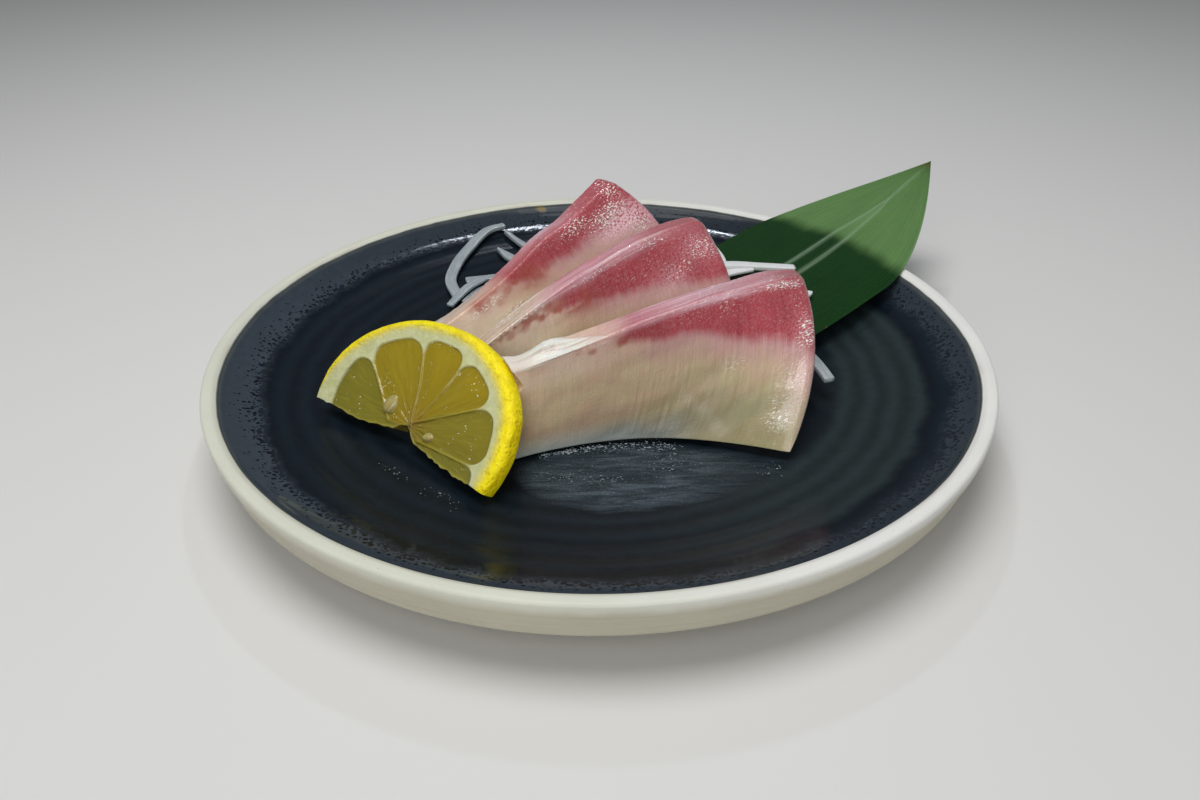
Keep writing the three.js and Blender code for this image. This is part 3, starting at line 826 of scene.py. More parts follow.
def back_offset(fish, u, v, slope):
    """From the face to the back: square to the face at the foot, along the skin side at the fold."""
    skin = np.radians(blend(*fish["skin"], u))
    skin_length = fish["thick"] / np.sin(face_arc(fish, u, 1)[2] - skin)
    thick = fish["thick"] * blend(0.55, 1, np.minimum(v / 0.4, 1))
    turned = v**3
    return (
        blend(np.sin(slope) * thick, np.cos(skin) * skin_length, turned),
        blend(-np.cos(slope) * thick, np.sin(skin) * skin_length, turned),
    )


def lemon_axes():
    """Directions across the lemon's face, up it, and away behind it."""
    heading, lean = math.radians(LEMON["heading"]), math.radians(LEMON["lean"])
    side = np.array([math.cos(heading), math.sin(heading), 0])
    level = np.array([-math.sin(heading), math.cos(heading), 0])
    up = level * math.sin(lean) + np.array([0, 0, math.cos(lean)])
    behind = level * math.cos(lean) - np.array([0, 0, math.sin(lean)])
    return side, up, behind


def lemon_bend(across, up):
    """How far the slice bows forward at a place on its face."""
    return (LEMON["bend"] * across**2 + LEMON["twist"] * across * up) / LEMON["bend_span"] ** 2


def yield_to_lemon(points):
    """Points inside the lemon, or just past its edge, move back behind it."""
    side, up, behind = lemon_axes()
    offset = points - np.array(LEMON["middle"])
    across, height = offset @ side, offset @ up
    depth = offset @ behind - lemon_bend(across, height)
    reach = np.hypot(across, height / LEMON["oval"])
    hold = ease(0, LEMON_PRESS, LEMON["radius"] + LEMON_PRESS + 0.4 - reach)
    return points + (hold * np.maximum(LEMON["thick"] + CLEARANCE - depth, 0))[..., None] * behind


def slice_point(fish, u, v, w):
    """A point of a slice: u along it, v up its width and w from the cut face (0) to the back (1)."""
    depth, height, slope = face_arc(fish, u, v)
    back_depth, back_height = back_offset(fish, u, np.maximum(v, 0), slope)
    lowest = np.maximum(height + back_height, 0)
    depth = depth + w * back_depth
    height = blend(height, lowest, w)
    along = u * (fish["length"] + fish["skew"] * v + fish["bulge"] * 4 * v * (1 - v))
    back = depth + fish["hollow"] * 4 * u * (1 - u) * (1 - v)
    lift = along * math.tan(math.radians(fish["rise"])) * (v + (1 - v) * u * u)
    heading = math.radians(fish["heading"])
    x, y, z = fish["foot"]
    points = stack(
        x + along * math.cos(heading) - back * math.sin(heading),
        y + along * math.sin(heading) + back * math.cos(heading),
        z + height + lift,
    )
    return yield_to_lemon(points)


def slice_outline(face=130, side=10, corner=6):
    """Half of a slice's section, from the middle of its foot up the face to the middle of its skin side.
    Each place is a fixed part plus a part that is multiplied by the corner's size, for v and for w."""
    t = (np.arange(side) + 0.5) / side
    turned = (np.arange(corner) + 0.5) / corner * math.pi / 2
    f = (np.arange(face) + 0.5) / face
    zero, one = np.zeros_like, np.ones_like
    fixed_v = np.concatenate([zero(t), zero(turned), f, one(turned), one(t)])
    corner_v = np.concatenate([zero(t), 1 - np.cos(turned), 1 - 2 * f, -(1 - np.sin(turned)), zero(t)])
    fixed_w = np.concatenate([0.5 * (1 - t), zero(turned), zero(f), zero(turned), 0.5 * t])
    corner_w = np.concatenate([t, 1 - np.sin(turned), zero(f), 1 - np.cos(turned), 1 - t])
    return fixed_v, corner_v, fixed_w, corner_w


def slice_stations(fish, count=230, end=12):
    """Places along a slice: even, and closer together where its ends round off."""
    rounded = SLICE_END_ROUND / fish["length"]
    close = rounded * (1 - np.cos(np.linspace(0, math.pi / 2, end, endpoint=False)))
    return np.concatenate([close, np.linspace(rounded, 1 - rounded, count), 1 - close[::-1]])


def slice_points(fish, seed, settings):
    """A slice as rings along its length: a rectangle with round corners, thinner at both ends, rounded at
    the wide end's top corner, with soft waves and the fine grooves of its fibres raised on it. Also gives
    its chart in millimetres and the place of each point along, up and across it."""
    fixed_v, corner_v, fixed_w, corner_w = slice_outline()
    fixed_v = np.concatenate([fixed_v, fixed_v[::-1]])
    corner_v = np.concatenate([corner_v, corner_v[::-1]])
    fixed_w = np.concatenate([fixed_w, 1 - fixed_w[::-1]])
    corner_w = np.concatenate([corner_w, -corner_w[::-1]])
    u = slice_stations(fish)[:, None]
    u = u - fish["hidden"] * (1 - u) ** 3
    width = face_width(fish, u)
    v = fixed_v + corner_v * SLICE_CORNER / width
    w = fixed_w + corner_w * SLICE_CORNER / fish["thick"]
    from_end = np.minimum(u + fish["hidden"], 1 - u) * fish["length"]
    thinned = 1 - (1 - np.clip(from_end / SLICE_END_ROUND, 0, 1)) ** 2.4
    w = 0.5 + (w - 0.5) * (0.12 + 0.88 * thinned ** (1 / 2.4))
    to_end = np.clip(((u - 1) * fish["length"] + SLICE_FOLD_CORNER) / SLICE_FOLD_CORNER, 0, 1)
    v = v * (1 - SLICE_FOLD_CORNER / width * (1 - np.sqrt(1 - to_end**2 * 0.999)))
    points = slice_point(fish, u, v, w)
    normals = grid_normals(points)
    chart = stack(u * fish["length"], (v - 1) * width, w * fish["thick"])
    wave = lumps(chart, (11, 9, 6), seed) + 0.4 * lumps(chart, (4.5, 3.5, 4), seed + 1)
    grooves = 0.22 * lumps(chart, (0.8, 9, 3), seed + 2)
    free = ease(0, 3, from_end) * ease(0, 2.5, v * width)
    height = settings.wave / MM * (wave + grooves) * free
    points = points + normals * height[..., None]
    points[..., 2] += fish["arch"] * hump(u - 0.5, 0.17) * (1 - np.clip(v, 0, 1)) ** 5
    place, spread, rise = fish["lump"]
    points[..., 2] += rise * hump(u - place, spread) * ease(0.96, 1, v) * ease(0.1, 0.7, w)
    return points, chart, u, v, w


def patches(places, u, v, least):
    """The strongest of many soft patches, each its amount times exp(-(away along / spread)^2 - (away up /
    spread)^2), and nowhere under the least."""
    for place_u, place_v, spread_u, spread_v, amount in places:
        patch = np.exp(-(((u - place_u) / spread_u) ** 2) - ((v - place_v) / spread_v) ** 2)
        least = np.maximum(least, amount * patch)
    return least


def slice_layers(fish, chart, u, v, w, seed):
    """Where each kind of flesh shows on a slice, and where painted shade, sheen and highlights go, from 0 to
    1, worked out in u, v and w.
    """
    u, v, w = np.broadcast_arrays(u, v, w)
    length_mm, width = fish["length"], face_width(fish, u)
    edge = read(fish["red"], u)
    over = v - edge + 0.018 * lumps(chart, (5, 6, 5), seed + 4) + 0.014 * lumps(chart, (0.8, 5, 5), seed + 5)
    begin = ease(*fish["begin"], u + 0.03 * lumps(chart, (3, 3, 5), seed + 9))
    red = ease(-0.05 - 0.03 * u, 0.035, over) * begin
    blush = ease(-0.24 - 0.1 * u, 0.0, over) * (0.35 + 0.65 * ease(0.15, 0.6, u))
    patchy = lumps(chart, (2.6, 1.8, 5), seed + 10) + 0.5 * lumps(chart, (1.1, 1, 5), seed + 11)
    patchy = ease(-0.3, 0.5, patchy)
    low, high = fish["rust"]
    stretch = ease(low, low + 0.08, u) * (1 - ease(high, high + 0.12, u)) if high else 0 * u
    skinward = w * fish["thick"] * ease(0.985, 1, v)
    rust = 0.75 * hump((v - edge + 0.02) * width + skinward, 1.9) * stretch * patchy
    rust = np.maximum(rust, fish["tan"] * ease(0.96, 1, v) * stretch)
    for place_u, place_v, radius, deep in fish["spots"]:
        away = np.hypot((u - place_u) * length_mm, (v - place_v) * width)
        away = away + 0.35 * radius * lumps(chart, (1.3, 1.3, 3), seed + 12)
        rust = np.maximum(rust, deep * (1 - ease(radius * 0.15, radius * 1.15, away)))
        blush = np.maximum(blush, 0.6 * deep * hump(away, radius * 2))
    near_fold = (1 - v) * width + w * fish["thick"]
    skin = ease(0.985, 1, v) * blend(*fish["across"], ease(0.1, 0.8, w))
    ragged = 0.02 * lumps(chart, 4, seed + 14)
    # Pale skin colour over the top of the face: partly skin rolled over the fold, partly a painted sheen
    # where the face turns up to the light.
    rolled_skin_and_sheen = fish["roll"][1] * ease(1 - fish["roll"][0], 0.985, v + ragged) * (1 - ease(0.985, 1, v))
    silver = np.clip(read(fish["sheet"], u) * np.maximum(skin, rolled_skin_and_sheen), 0, 1)
    # A painted highlight: a bright line along the fold, where its rounded edge catches the light.
    line = hump(near_fold - 0.15 - 0.15 * lumps(chart, (6, 3, 3), seed + 13), 0.3) * fish["glow"]
    line = line * ease(0.42, 0.52, u) * (1 - ease(0.75, 0.95, u))
    # Olive low on the face: partly the flesh's own yellow-green, partly painted shade towards the foot.
    olive = 1 - ease(0.2, 0.8, v + 0.08 * lumps(chart, 9, seed + 6))
    olive = olive * (0.1 + 0.9 * ease(0.2, 0.75, u))
    olive = olive * (1 - 0.4 * ease(0.65, 0.8, u) * ease(0.2, 0.5, v))
    clear = (1 - ease(0.02, 0.28, v + 0.05 * lumps(chart, 6, seed + 7))) * (1 - ease(0.45, 0.7, u))
    # The wet patches lower the roughness and add a coat and ripples, and are where glints are painted as
    # highlights.
    wet = patches(fish["wet"], u, v, 0.1 + 0.14 * ease(-0.02, 0.1, over) * ease(0.3, 0.6, u))
    wet = np.clip(wet * (1 + 0.5 * lumps(chart, (5, 4, 5), seed + 8)), 0, 1)
    # Painted sheen: pale patches where the wet fibres catch the light.
    sheen = patches(fish["sheen"], u, v, 0)
    # A painted highlight along the edge of the wide end, added to the line.
    end = hump((1 - u) * length_mm, 0.5) * 0.6
    pale = 1 - ease(0.14, 0.34, u)
    cream = fish["cream"] * (1 - ease(0.18, 0.38, u)) * np.maximum(1 - fish["dim"], ease(0.6, 0.85, v))
    cream = cream * (1 - 0.8 * ease(0.985, 1, v))
    # Painted shade: the foot of the front slice, and a patch in the middle of its face, are darkened where
    # shade falls.
    dim = (1 - ease(0.04, 0.42, v)) * hump(u - 0.44, 0.3)
    dim = fish["dim"] * np.maximum(dim, 0.35 * hump(v - 0.62, 0.16) * hump(u - 0.54, 0.16))
    return dict(
        red=red, blush=blush, rust=rust, silver=silver, olive=olive, clear=clear, wet=wet, line=line + end,
        pale=pale, sheen=sheen, cream=cream, dim=dim,
    )


def front_marks(fish, u, v, w):
    """Marks on the front slice only: a fan of white fat on the skin side beside the lemon, which narrows to
    a point on the fold, and a pale seam across the foot."""
    length_mm, width = fish["length"], face_width(fish, u)
    along, up = u * length_mm, v * width
    seam = [(place_u * length_mm, place_v * float(face_width(fish, place_u))) for place_u, place_v in SEAM]
    seam = line_distance(along, up, seam) + 0.7 * lumps(stack(along, up, 0), 2.5, 44)
    seam = hump(seam, 1.3) * 0.1
    reach = np.maximum(read(FAT_REACH, u), 0.02)
    fan = (1 - ease(0.9, 1.15, w / reach)) * ease(0.975, 1, v) * (1 - ease(0.26, 0.32, u))
    fan = fan * (0.6 + 0.4 * ease(0.0, 0.1, u)) * (1 - 0.5 * ease(0.17, 0.27, u))
    under = 0.5 * (1 - ease(0.05, 0.14, u)) * ease(0.93, 0.97, v)
    return np.clip(np.maximum(fan, under) + seam, 0, 1)


def flesh_finish(settings):
    """Wet raw fish: pale flesh with fine fibres across it, red muscle, a silvery skin side and white fat,
    with painted shade at the foot, painted sheen, a painted highlight along the fold and painted glints that
    glow.
    """
    finish = Finish(
        "raw fish", Subsurface_Weight=0.3, Subsurface_Radius=(1.0, 0.45, 0.3), Subsurface_Scale=3 * MM,
        IOR=1.38, Coat_Roughness=0.1, Emission_Strength=0.22,
    )
    flow = finish.layer_vector("flow")
    fibres = finish.noise(flow, (0.42, 7, 3), 3.0, 0.6)
    broad = finish.noise(flow, (6, 9, 5), 2.0)
    fine = finish.noise(flow, (0.35, 0.7, 0.5), 2.0)
    mottled = finish.noise(flow, (1.6, 1.6, 2), 3.0, 0.6)
    red, blush, rust, silver = finish.layers("red", "blush", "rust", "silver")
    olive, clear, wet, fat = finish.layers("olive", "clear", "wet", "fat")
    line, pale, sheen = finish.layers("line", "pale", "sheen")
    rosy = finish.noise(flow, (12, 8, 8), 2.0).ramp(0.4, 0.62)
    flesh = finish.cover(
        settings.flesh,
        (rosy, settings.rosy),
        (olive * (0.6 + 0.6 * broad), settings.olive),
        (clear * 0.95, settings.clear),
        (finish.layer("cream") * 0.7, tone(252, 238, 214)),
        (blush * (0.55 + 0.6 * fibres), settings.blush),
    )
    # The dim layer darkens the flesh as painted shade at the foot.
    flesh = finish.tint(flesh, (0.84 + 0.2 * fibres + 0.12 * mottled) * (1 - 0.42 * finish.layer("dim")))
    paler = fine.ramp(0.35, 0.8) * 0.3 + mottled.ramp(0.5, 0.75) * 0.18
    muscle = finish.tint(finish.mix(paler, settings.red, settings.blush), 0.78 + 0.44 * broad)
    streaks = finish.noise(flow, (16, 0.6, 0.5), 3.0, 0.6)
    cords = finish.noise(flow, (18, 0.4, 0.35), 3.0, 0.6)
    strip = finish.cover(
        finish.mix(pale, tone(208, 150, 158), tone(180, 160, 142)),
        (streaks.ramp(0.4, 0.68) * 0.8, finish.mix(pale, settings.silver, tone(214, 205, 194))),
        (cords.ramp(0.52, 0.6) * pale * 0.9, tone(250, 246, 238)),
    )
    flesh = finish.cover(
        flesh,
        (red * (0.78 + 0.3 * fibres), muscle),
        (silver * (0.72 + 0.6 * streaks), strip),
        # Painted sheen patches, pale where the light catches the fibres.
        (sheen * fine.ramp(0.35, 0.58) * (0.5 + fibres * 1.2), tone(248, 208, 214)),
        # The line layer paints the highlights along the fold and the wide end's edge.
        (line * (0.35 + 0.6 * streaks), tone(244, 224, 222)),
        (rust * (0.5 + broad), settings.rust),
        (fat * (0.5 + cords.ramp(0.32, 0.58) * 0.6), settings.fat),
    )
    # The fat is darker in the grooves between its cords: painted shade.
    flesh = finish.tint(flesh, 1 - fat * cords.ramp(0.46, 0.34) * 0.25)
    # Painted highlights: glints and sparks where the flesh is wet are painted pale into the base colour, and
    # the brightest glow as emission, though the fish is no lamp.
    glint = finish.noise(flow, (0.75, 0.4, 0.5), 2.0, 0.5, 0.6) + wet * 0.12
    glint = glint.ramp(0.63, 0.71) * wet.ramp(0.08, 0.6)
    spark = finish.noise(flow, (0.45, 0.3, 0.4), 1.0) + wet * 0.06
    spark = spark.ramp(0.72, 0.78) * wet.ramp(0.05, 0.4)
    shine = glint * 0.9 + spark * 0.5
    flesh = finish.mix(shine, flesh, tone(255, 246, 236))
    shine = finish.mix(shine * fine.ramp(0.4, 0.7), tone(0, 0, 0), tone(255, 250, 250))
    rough = 0.4 - 0.2 * wet + 0.12 * (fine - 0.5)
    normal = finish.bumps(
        (fibres, 0.12),
        (finish.noise(flow, (0.55, 0.55, 0.55), 2.0), 0.06),
        (cords * fat, 0.5),
        (finish.noise(flow, (0.8, 0.6, 0.7), 1.0) * wet, 0.45),
    )
    coat = 0.2 + 0.8 * wet
    return finish.feed(
        Base_Color=flesh, Roughness=rough, Normal=normal, Coat_Weight=coat, Emission_Color=shine
    )


# ---- the lemon ----


def lemon_point(across, up, depth):
    """A point of the lemon slice: across and up its face, and depth behind the bowed face."""
    side, rise, behind = lemon_axes()
    depth = depth + lemon_bend(across, up)
    offset = across[..., None] * side + up[..., None] * rise
    return np.array(LEMON["middle"]) + offset + depth[..., None] * behind


def segment_depths(across, up):
    """How far inside its segment each place is: the lesser of the distances to the membranes and to the
    pith, with the corner between them rounded. Then the distance to the pith alone, which segment it is in
    from the left, the distance to the nearest membrane, and the distance and angle from the core."""
    wall = np.full(across.shape, np.inf)
    segment = np.zeros(across.shape, int)
    core_x, core_y = LEMON_CORE
    turn = np.degrees(np.arctan2(up - core_y, across - core_x))
    turn = np.where(turn < -90, turn + 360, turn)
    from_core = np.hypot(across - core_x, up - core_y)
    for line in MEMBRANES:
        wall = np.minimum(wall, line_distance(across, up, line))
        x, y = np.array(line[::-1]).T - np.array([[core_x], [core_y]])
        line_turn = np.degrees(np.unwrap(np.arctan2(y, x)))
        line_turn = line_turn + 360 * (line_turn[-1] < -90)
        segment += turn < np.interp(from_core, np.hypot(x, y), line_turn)
    reach = np.hypot(across, up / LEMON["oval"])
    outer = np.array(SEGMENT_REACH)[segment] - reach
    wall = wall - 0.06
    corner = SEGMENT_CORNER
    rounded = corner - np.hypot(np.maximum(corner - outer, 0), np.maximum(corner - wall, 0))
    inside = np.where((outer < corner) & (wall < corner), rounded, np.minimum(outer, wall))
    return inside, outer, segment, wall, from_core, turn


def lemon_points(rows=320, face=104, corner=6, side=6):
    """The slice as sections round its middle: out along the face, round the rind and back. The juice sacs
    stand up in each segment between the walls, and the rind's corners are rounded."""
    radius, thick, round_size = LEMON["radius"], LEMON["thick"], LEMON_CORNER
    turned = (np.arange(corner) + 0.5) / corner * math.pi / 2
    t = (np.arange(side) + 0.5) / side
    reach = np.concatenate([
        np.zeros(2), np.linspace(0, radius - round_size, face),
        radius - round_size * (1 - np.sin(turned)), np.full(side, radius),
    ])
    depth = np.concatenate([
        np.array([0.375, 0.125]) * thick, np.zeros(face), round_size * (1 - np.cos(turned)),
        blend(round_size, thick / 2, t),
    ])
    reach = reach + RIND_BULGE * np.sin(np.pi * depth / thick) * (reach > radius - round_size)
    reach = np.concatenate([reach, reach[::-1]])
    depth = np.concatenate([depth, thick - depth[::-1]])
    angle = np.radians(np.linspace(LEMON["start"], LEMON["end"], rows))[:, None]
    uneven = stack(np.cos(angle) * 30, np.sin(angle) * 30, depth)
    reach = reach * (1 + 0.007 * lumps(uneven, (11, 11, 9), 31) + 0.005 * lumps(uneven, 2.4, 32))
    across = reach * np.cos(angle)
    up = reach * LEMON["oval"] * np.sin(angle)
    part = np.linspace(0, 1, rows)[:, None]
    for cut, edge_row, from_cut in ((RIGHT_CUT, 0, part), (LEFT_CUT, -1, 1 - part)):
        cut_across, cut_up = np.array(cut).T
        cut_reach = np.hypot(cut_across - cut_across[0], cut_up - cut_up[0]) * radius / CUT_LENGTH
        pull = np.clip(1 - from_cut / CUT_BLEND, 0, 1) ** 2
        out = reach[0]
        jag = 0.3 * lumps(stack(out, out, out), 2.2, 37 + edge_row) * (out < JUICE_REACH)
        shift_x = np.interp(out, cut_reach, cut_across) - across[edge_row]
        shift_y = np.interp(out, cut_reach, cut_up) + jag - up[edge_row]
        across, up = across + pull * shift_x, up + pull * shift_y
    inside, outer, segment, wall, core, turn = segment_depths(across, up)
    fibre = stack(core, np.radians(turn) * 16, depth)
    sacs = lumps(fibre, (4.5, 1.5, 9), 33) + 0.5 * lumps(fibre, (1.8, 0.8, 9), 34)
    pulp = ease(0, 0.4, inside)
    sunk = pulp * (0.3 - 0.25 * ease(0.6, 5, inside) - 0.09 * sacs) - 0.06 * hump(inside, 0.4)
    uneven = 0.12 * lumps(stack(across, up, 0), 3, 36) * (1 - pulp)
    near = np.clip(1 - np.minimum(depth, thick - depth) / 0.9, 0, 1)
    inward = np.where(depth < thick / 2, 1, -1)
    depth_now = depth + (sunk + uneven) * near * inward * ease(0, 1.2, radius - reach)
    points = lemon_point(across, up, depth_now)
    peel_start = read(PEEL_START, np.degrees(angle))
    ragged = 0.5 * lumps(points, 4, 38) + 0.2 * lumps(points, 0.9, 39)
    peel = ease(-1.4, 1.1 + 0.8 * (28.2 - peel_start), reach - peel_start + ragged)
    cut = np.minimum(line_distance(across, up, RIGHT_CUT), line_distance(across, up, LEFT_CUT))
    ends = np.choose(segment, SEGMENT_GREEN)
    walls = hump(wall + 0.06, 0.3) * (0.3 + 0.7 * ease(6, 20, core))
    membrane = np.clip(walls + hump(cut, 0.45) * (reach < JUICE_REACH + 0.5), 0, 1) * ease(0, 2, outer)
    pith = (1 - pulp) * (1 - ease(2, 6, outer))
    layers = dict(
        pith=pith, peel=peel, ends=ends, membrane=membrane, fibre=fibre, deep=ease(0.2, 5, inside),
        heart=hump(core, 5.5),
    )
    return points, layers


def lemon_finish(settings):
    """Juicy segments with fine sacs that run out from the core, a green-white pith and a pored rind, with
    painted glints on the juice and a painted glow on the rind's right-hand part.
    """
    finish = Finish(
        "lemon", Subsurface_Weight=0.25, Subsurface_Radius=(1.0, 0.8, 0.2), Subsurface_Scale=2.5 * MM,
        IOR=1.38, Coat_Roughness=0.1, Emission_Strength=0.12,
    )
    place, fibre = finish.place(), finish.layer_vector("fibre")
    pith, peel, ends = finish.layers("pith", "peel", "ends")
    membrane, deep, heart = finish.layers("membrane", "deep", "heart")
    sacs = finish.noise(fibre, (5, 1.2, 9), 3.0, 0.55)
    pale = finish.noise(fibre, (6, 0.5, 9), 2.0).ramp(0.56, 0.74) * (0.2 + 0.7 * heart)
    brown = heart * finish.noise(fibre, (4, 0.7, 9), 2.0).ramp(0.42, 0.58)
    # Painted highlights: small glints painted pale on the juice.
    painted_juice_glints = finish.noise(place, 0.55, 1.0).ramp(0.7, 0.74) * finish.noise(place, 4, 1.0).ramp(0.52, 0.6)
    juice = finish.tint(finish.mix(ends, settings.pulp, settings.green), 0.86 + 0.2 * sacs + 0.08 * deep)
    juice = finish.cover(
        juice,
        (membrane * 0.42, settings.membrane),
        (pale, settings.membrane),
        (brown * 0.75, tone(146, 106, 36)),
        (painted_juice_glints * 0.9, tone(252, 248, 214)),
    )
    mottled = finish.noise(place, 1.8, 4.0, 0.65).ramp(0.3, 0.7)
    white = finish.mix(mottled, tone(196, 198, 138), tone(232, 230, 190))
    pores = 1 - finish.cells(place, 1.1).ramp(0.05, 0.5)
    skin = finish.cover(
        settings.rind,
        (finish.noise(place, 7, 2.0).ramp(0.3, 0.7), tone(252, 226, 8)),
        (finish.noise(place, 2.6, 3.0).ramp(0.45, 0.7) * 0.5, tone(218, 196, 14)),
        (pores * 0.22, tone(206, 172, 4)),
    )
    surface = finish.cover(juice, (pith, finish.mix(0.45, settings.pith, white)), (peel, skin))
    rough = 0.22 + 0.22 * pith + 0.12 * peel
    normal = finish.bumps(
        (sacs * (1 - pith), 0.14),
        (finish.noise(place, 0.8, 3.0) * pith * (1 - peel), 0.12),
        (finish.noise(place, 1.6, 2.0) * peel, 0.6),
        (pores * peel, -0.16),
    )
    # Painted light: the rind glows as emission towards its right-hand part, where light falls on it, though
    # the lemon is no lamp.
    glow = finish.tint(finish.mix(peel, tone(0, 0, 0), skin), finish.parts(place)[0].ramp(-36, -22))
    coat = 0.9 - 0.7 * pith - 0.2 * peel
    return finish.feed(
        Base_Color=surface, Roughness=rough, Normal=normal, Coat_Weight=coat, Emission_Color=glow
    )


def pip_points(pip, rows=26, around=32):
    """A pip: an egg, narrower at one end, that lies in the lemon's face."""
    across, up = pip["place"]
    wide, tall, deep = (size / 2 for size in pip["size"])
    lat = np.linspace(0, math.pi, rows)[:, None]
    lon = (np.arange(around) + 0.5) / around * TURN
    slim = np.sin(lat) * (1 - 0.22 * np.cos(lat))
    x, y = wide * slim * np.cos(lon), tall * np.cos(lat) + 0 * lon
    z = deep * slim * np.sin(lon)
    turn = math.radians(pip["turn"])
    across = across + x * math.cos(turn) - y * math.sin(turn)
    up = up + x * math.sin(turn) + y * math.cos(turn)
    points = lemon_point(across, up, z + pip["deep"])
    return points + 0.12 * lumps(points, 1.6, 41)[..., None], stack(y, lon * wide, z)


def pip_finish(settings):
    """Pale wet pips with brown streaks along them."""
    finish = Finish(
        "lemon pip", Subsurface_Weight=0.3, Subsurface_Scale=2 * MM, Roughness=0.3, Coat_Weight=0.6
    )
    lines = finish.layer_vector("fibre")
    streaks = finish.noise(lines, (3, 0.6, 0.6), 3.0, 0.6).ramp(0.42, 0.7)
    surface = finish.mix(streaks * 0.5, settings.pip, tone(152, 130, 62))
    return finish.feed(Base_Color=surface, Normal=finish.bumps((streaks, -0.1)))


# ---- the leaf ----


def leaf_point(back, side, lift):
    """A point of the leaf: back from the tip, side from -1 to 1 of the half width. The half width grows from
    the tip by a power, the blade rises towards the tip, and lift is added upwards."""
    heading = math.radians(LEAF["heading"])
    power = np.where(side > 0, LEAF["left"], LEAF["right"])
    half = LEAF["half_width"] * (1 - (1 - np.minimum(1, back / LEAF["taper"])) ** power)
    rise = np.exp(-((back / LEAF["ramp"]) ** LEAF["power"]))
    x, y = LEAF["tip"]
    return stack(
        x - back * math.cos(heading) - side * half * math.sin(heading),
        y - back * math.sin(heading) + side * half * math.cos(heading),
        blend(LEAF["low"], LEAF["high"], rise) + lift,
    )


def leaf_points(settings, rows=260, across=110):
    """The leaf as a thin closed sheet: the upper side and the lower side as one ring at each place back from
    the tip, with two pale folds along it, faint ribs and a slightly wavy edge."""
    back = LEAF["length"] * np.linspace(0, 1, rows)[:, None] ** 1.25
    half_ring = np.sin((np.arange(across) + 0.5) / across * math.pi - math.pi / 2)
    side = np.broadcast_to(np.concatenate([half_ring, half_ring[::-1]]), (rows, 2 * across))
    upper = np.concatenate([np.ones(across), -np.ones(across)])
    back = np.broadcast_to(back, side.shape)
    chart = stack(back, side * LEAF["half_width"], 0)
    folds = [hump((side - read(fold, back)) * LEAF["half_width"], 0.7) for fold in LEAF_FOLDS]
    ribs = 0.05 * np.sin(side * LEAF["half_width"] * TURN / RIB_SPACING)
    waves = 0.35 * lumps(chart, (26, 12, 10), 51) * ease(4, 30, back) * (1 - ease(60, 80, back))
    lift = settings.crease / MM * (folds[0] - 0.7 * folds[1]) * ease(2, 14, back) + ribs + waves
    thick = LEAF["thick"] / 2 * upper * (1 - 0.7 * side**8)
    points = leaf_point(back, side, lift + thick)
    one, other = (read(fold, back) for fold in LEAF_FOLDS)
    between = ease(0, 0.02, side - np.minimum(one, other)) * ease(0, 0.02, np.maximum(one, other) - side)
    pale = np.maximum(np.maximum(*folds), 0.35 * between * (1 - ease(28, 46, back))) * ease(0, 8, back)
    edge = ease(0.965, 0.998, np.abs(side))
    return points, dict(flow=chart, pale=pale, edge=edge)


def leaf_finish(settings):
    """A satin leaf with close parallel veins: deep green over the plate and brighter beyond its rim towards
    the tip, as painted shade and painted light.
    """
    finish = Finish(
        "leaf", IOR=1.22, Subsurface_Weight=0.12, Subsurface_Radius=(0.4, 1.0, 0.2), Subsurface_Scale=MM
    )
    flow = finish.layer_vector("flow")
    back, side, _ = finish.parts(flow)
    x, y, _ = finish.parts(finish.place())
    radius = (x * x + y * y) ** 0.5
    patch = finish.noise(flow, (22, 9, 10), 2.0)
    veins = finish.noise(flow, (60, 0.75, 5), 2.0, 0.6)
    fine_veins = finish.math("SINE", side * (TURN / VEIN_SPACING)) * 0.5 + 0.5
    # Painted light and shade: deep green over the plate, bright green beyond its rim.
    painted_light_beyond_rim = (radius + (patch - 0.5) * 5).ramp(*LEAF_BRIGHTENS)
    blade = finish.mix(painted_light_beyond_rim, settings.deep, settings.bright)
    blade = finish.tint(blade, 0.62 + 0.45 * veins + 0.12 * fine_veins + 0.36 * patch)
    pale, edge = finish.layers("pale", "edge")
    dried = (1 - back.ramp(0.5, 5)) + edge * finish.noise(flow, 3.0).ramp(0.6, 0.7)
    blade = finish.cover(
        blade,
        # The pale folds: partly their own paler colour, partly a painted highlight along them.
        (pale * (0.35 + 0.5 * veins) * 0.9, settings.vein),
        (edge * 0.2 * painted_light_beyond_rim, settings.vein),
        (dried * 0.6, settings.tip),
    )
    rough = 0.42 + 0.14 * veins
    normal = finish.bumps((fine_veins * 0.5 + veins, 0.1))
    return finish.feed(Base_Color=blade, Roughness=rough, Normal=normal)


# ---- the radish ----


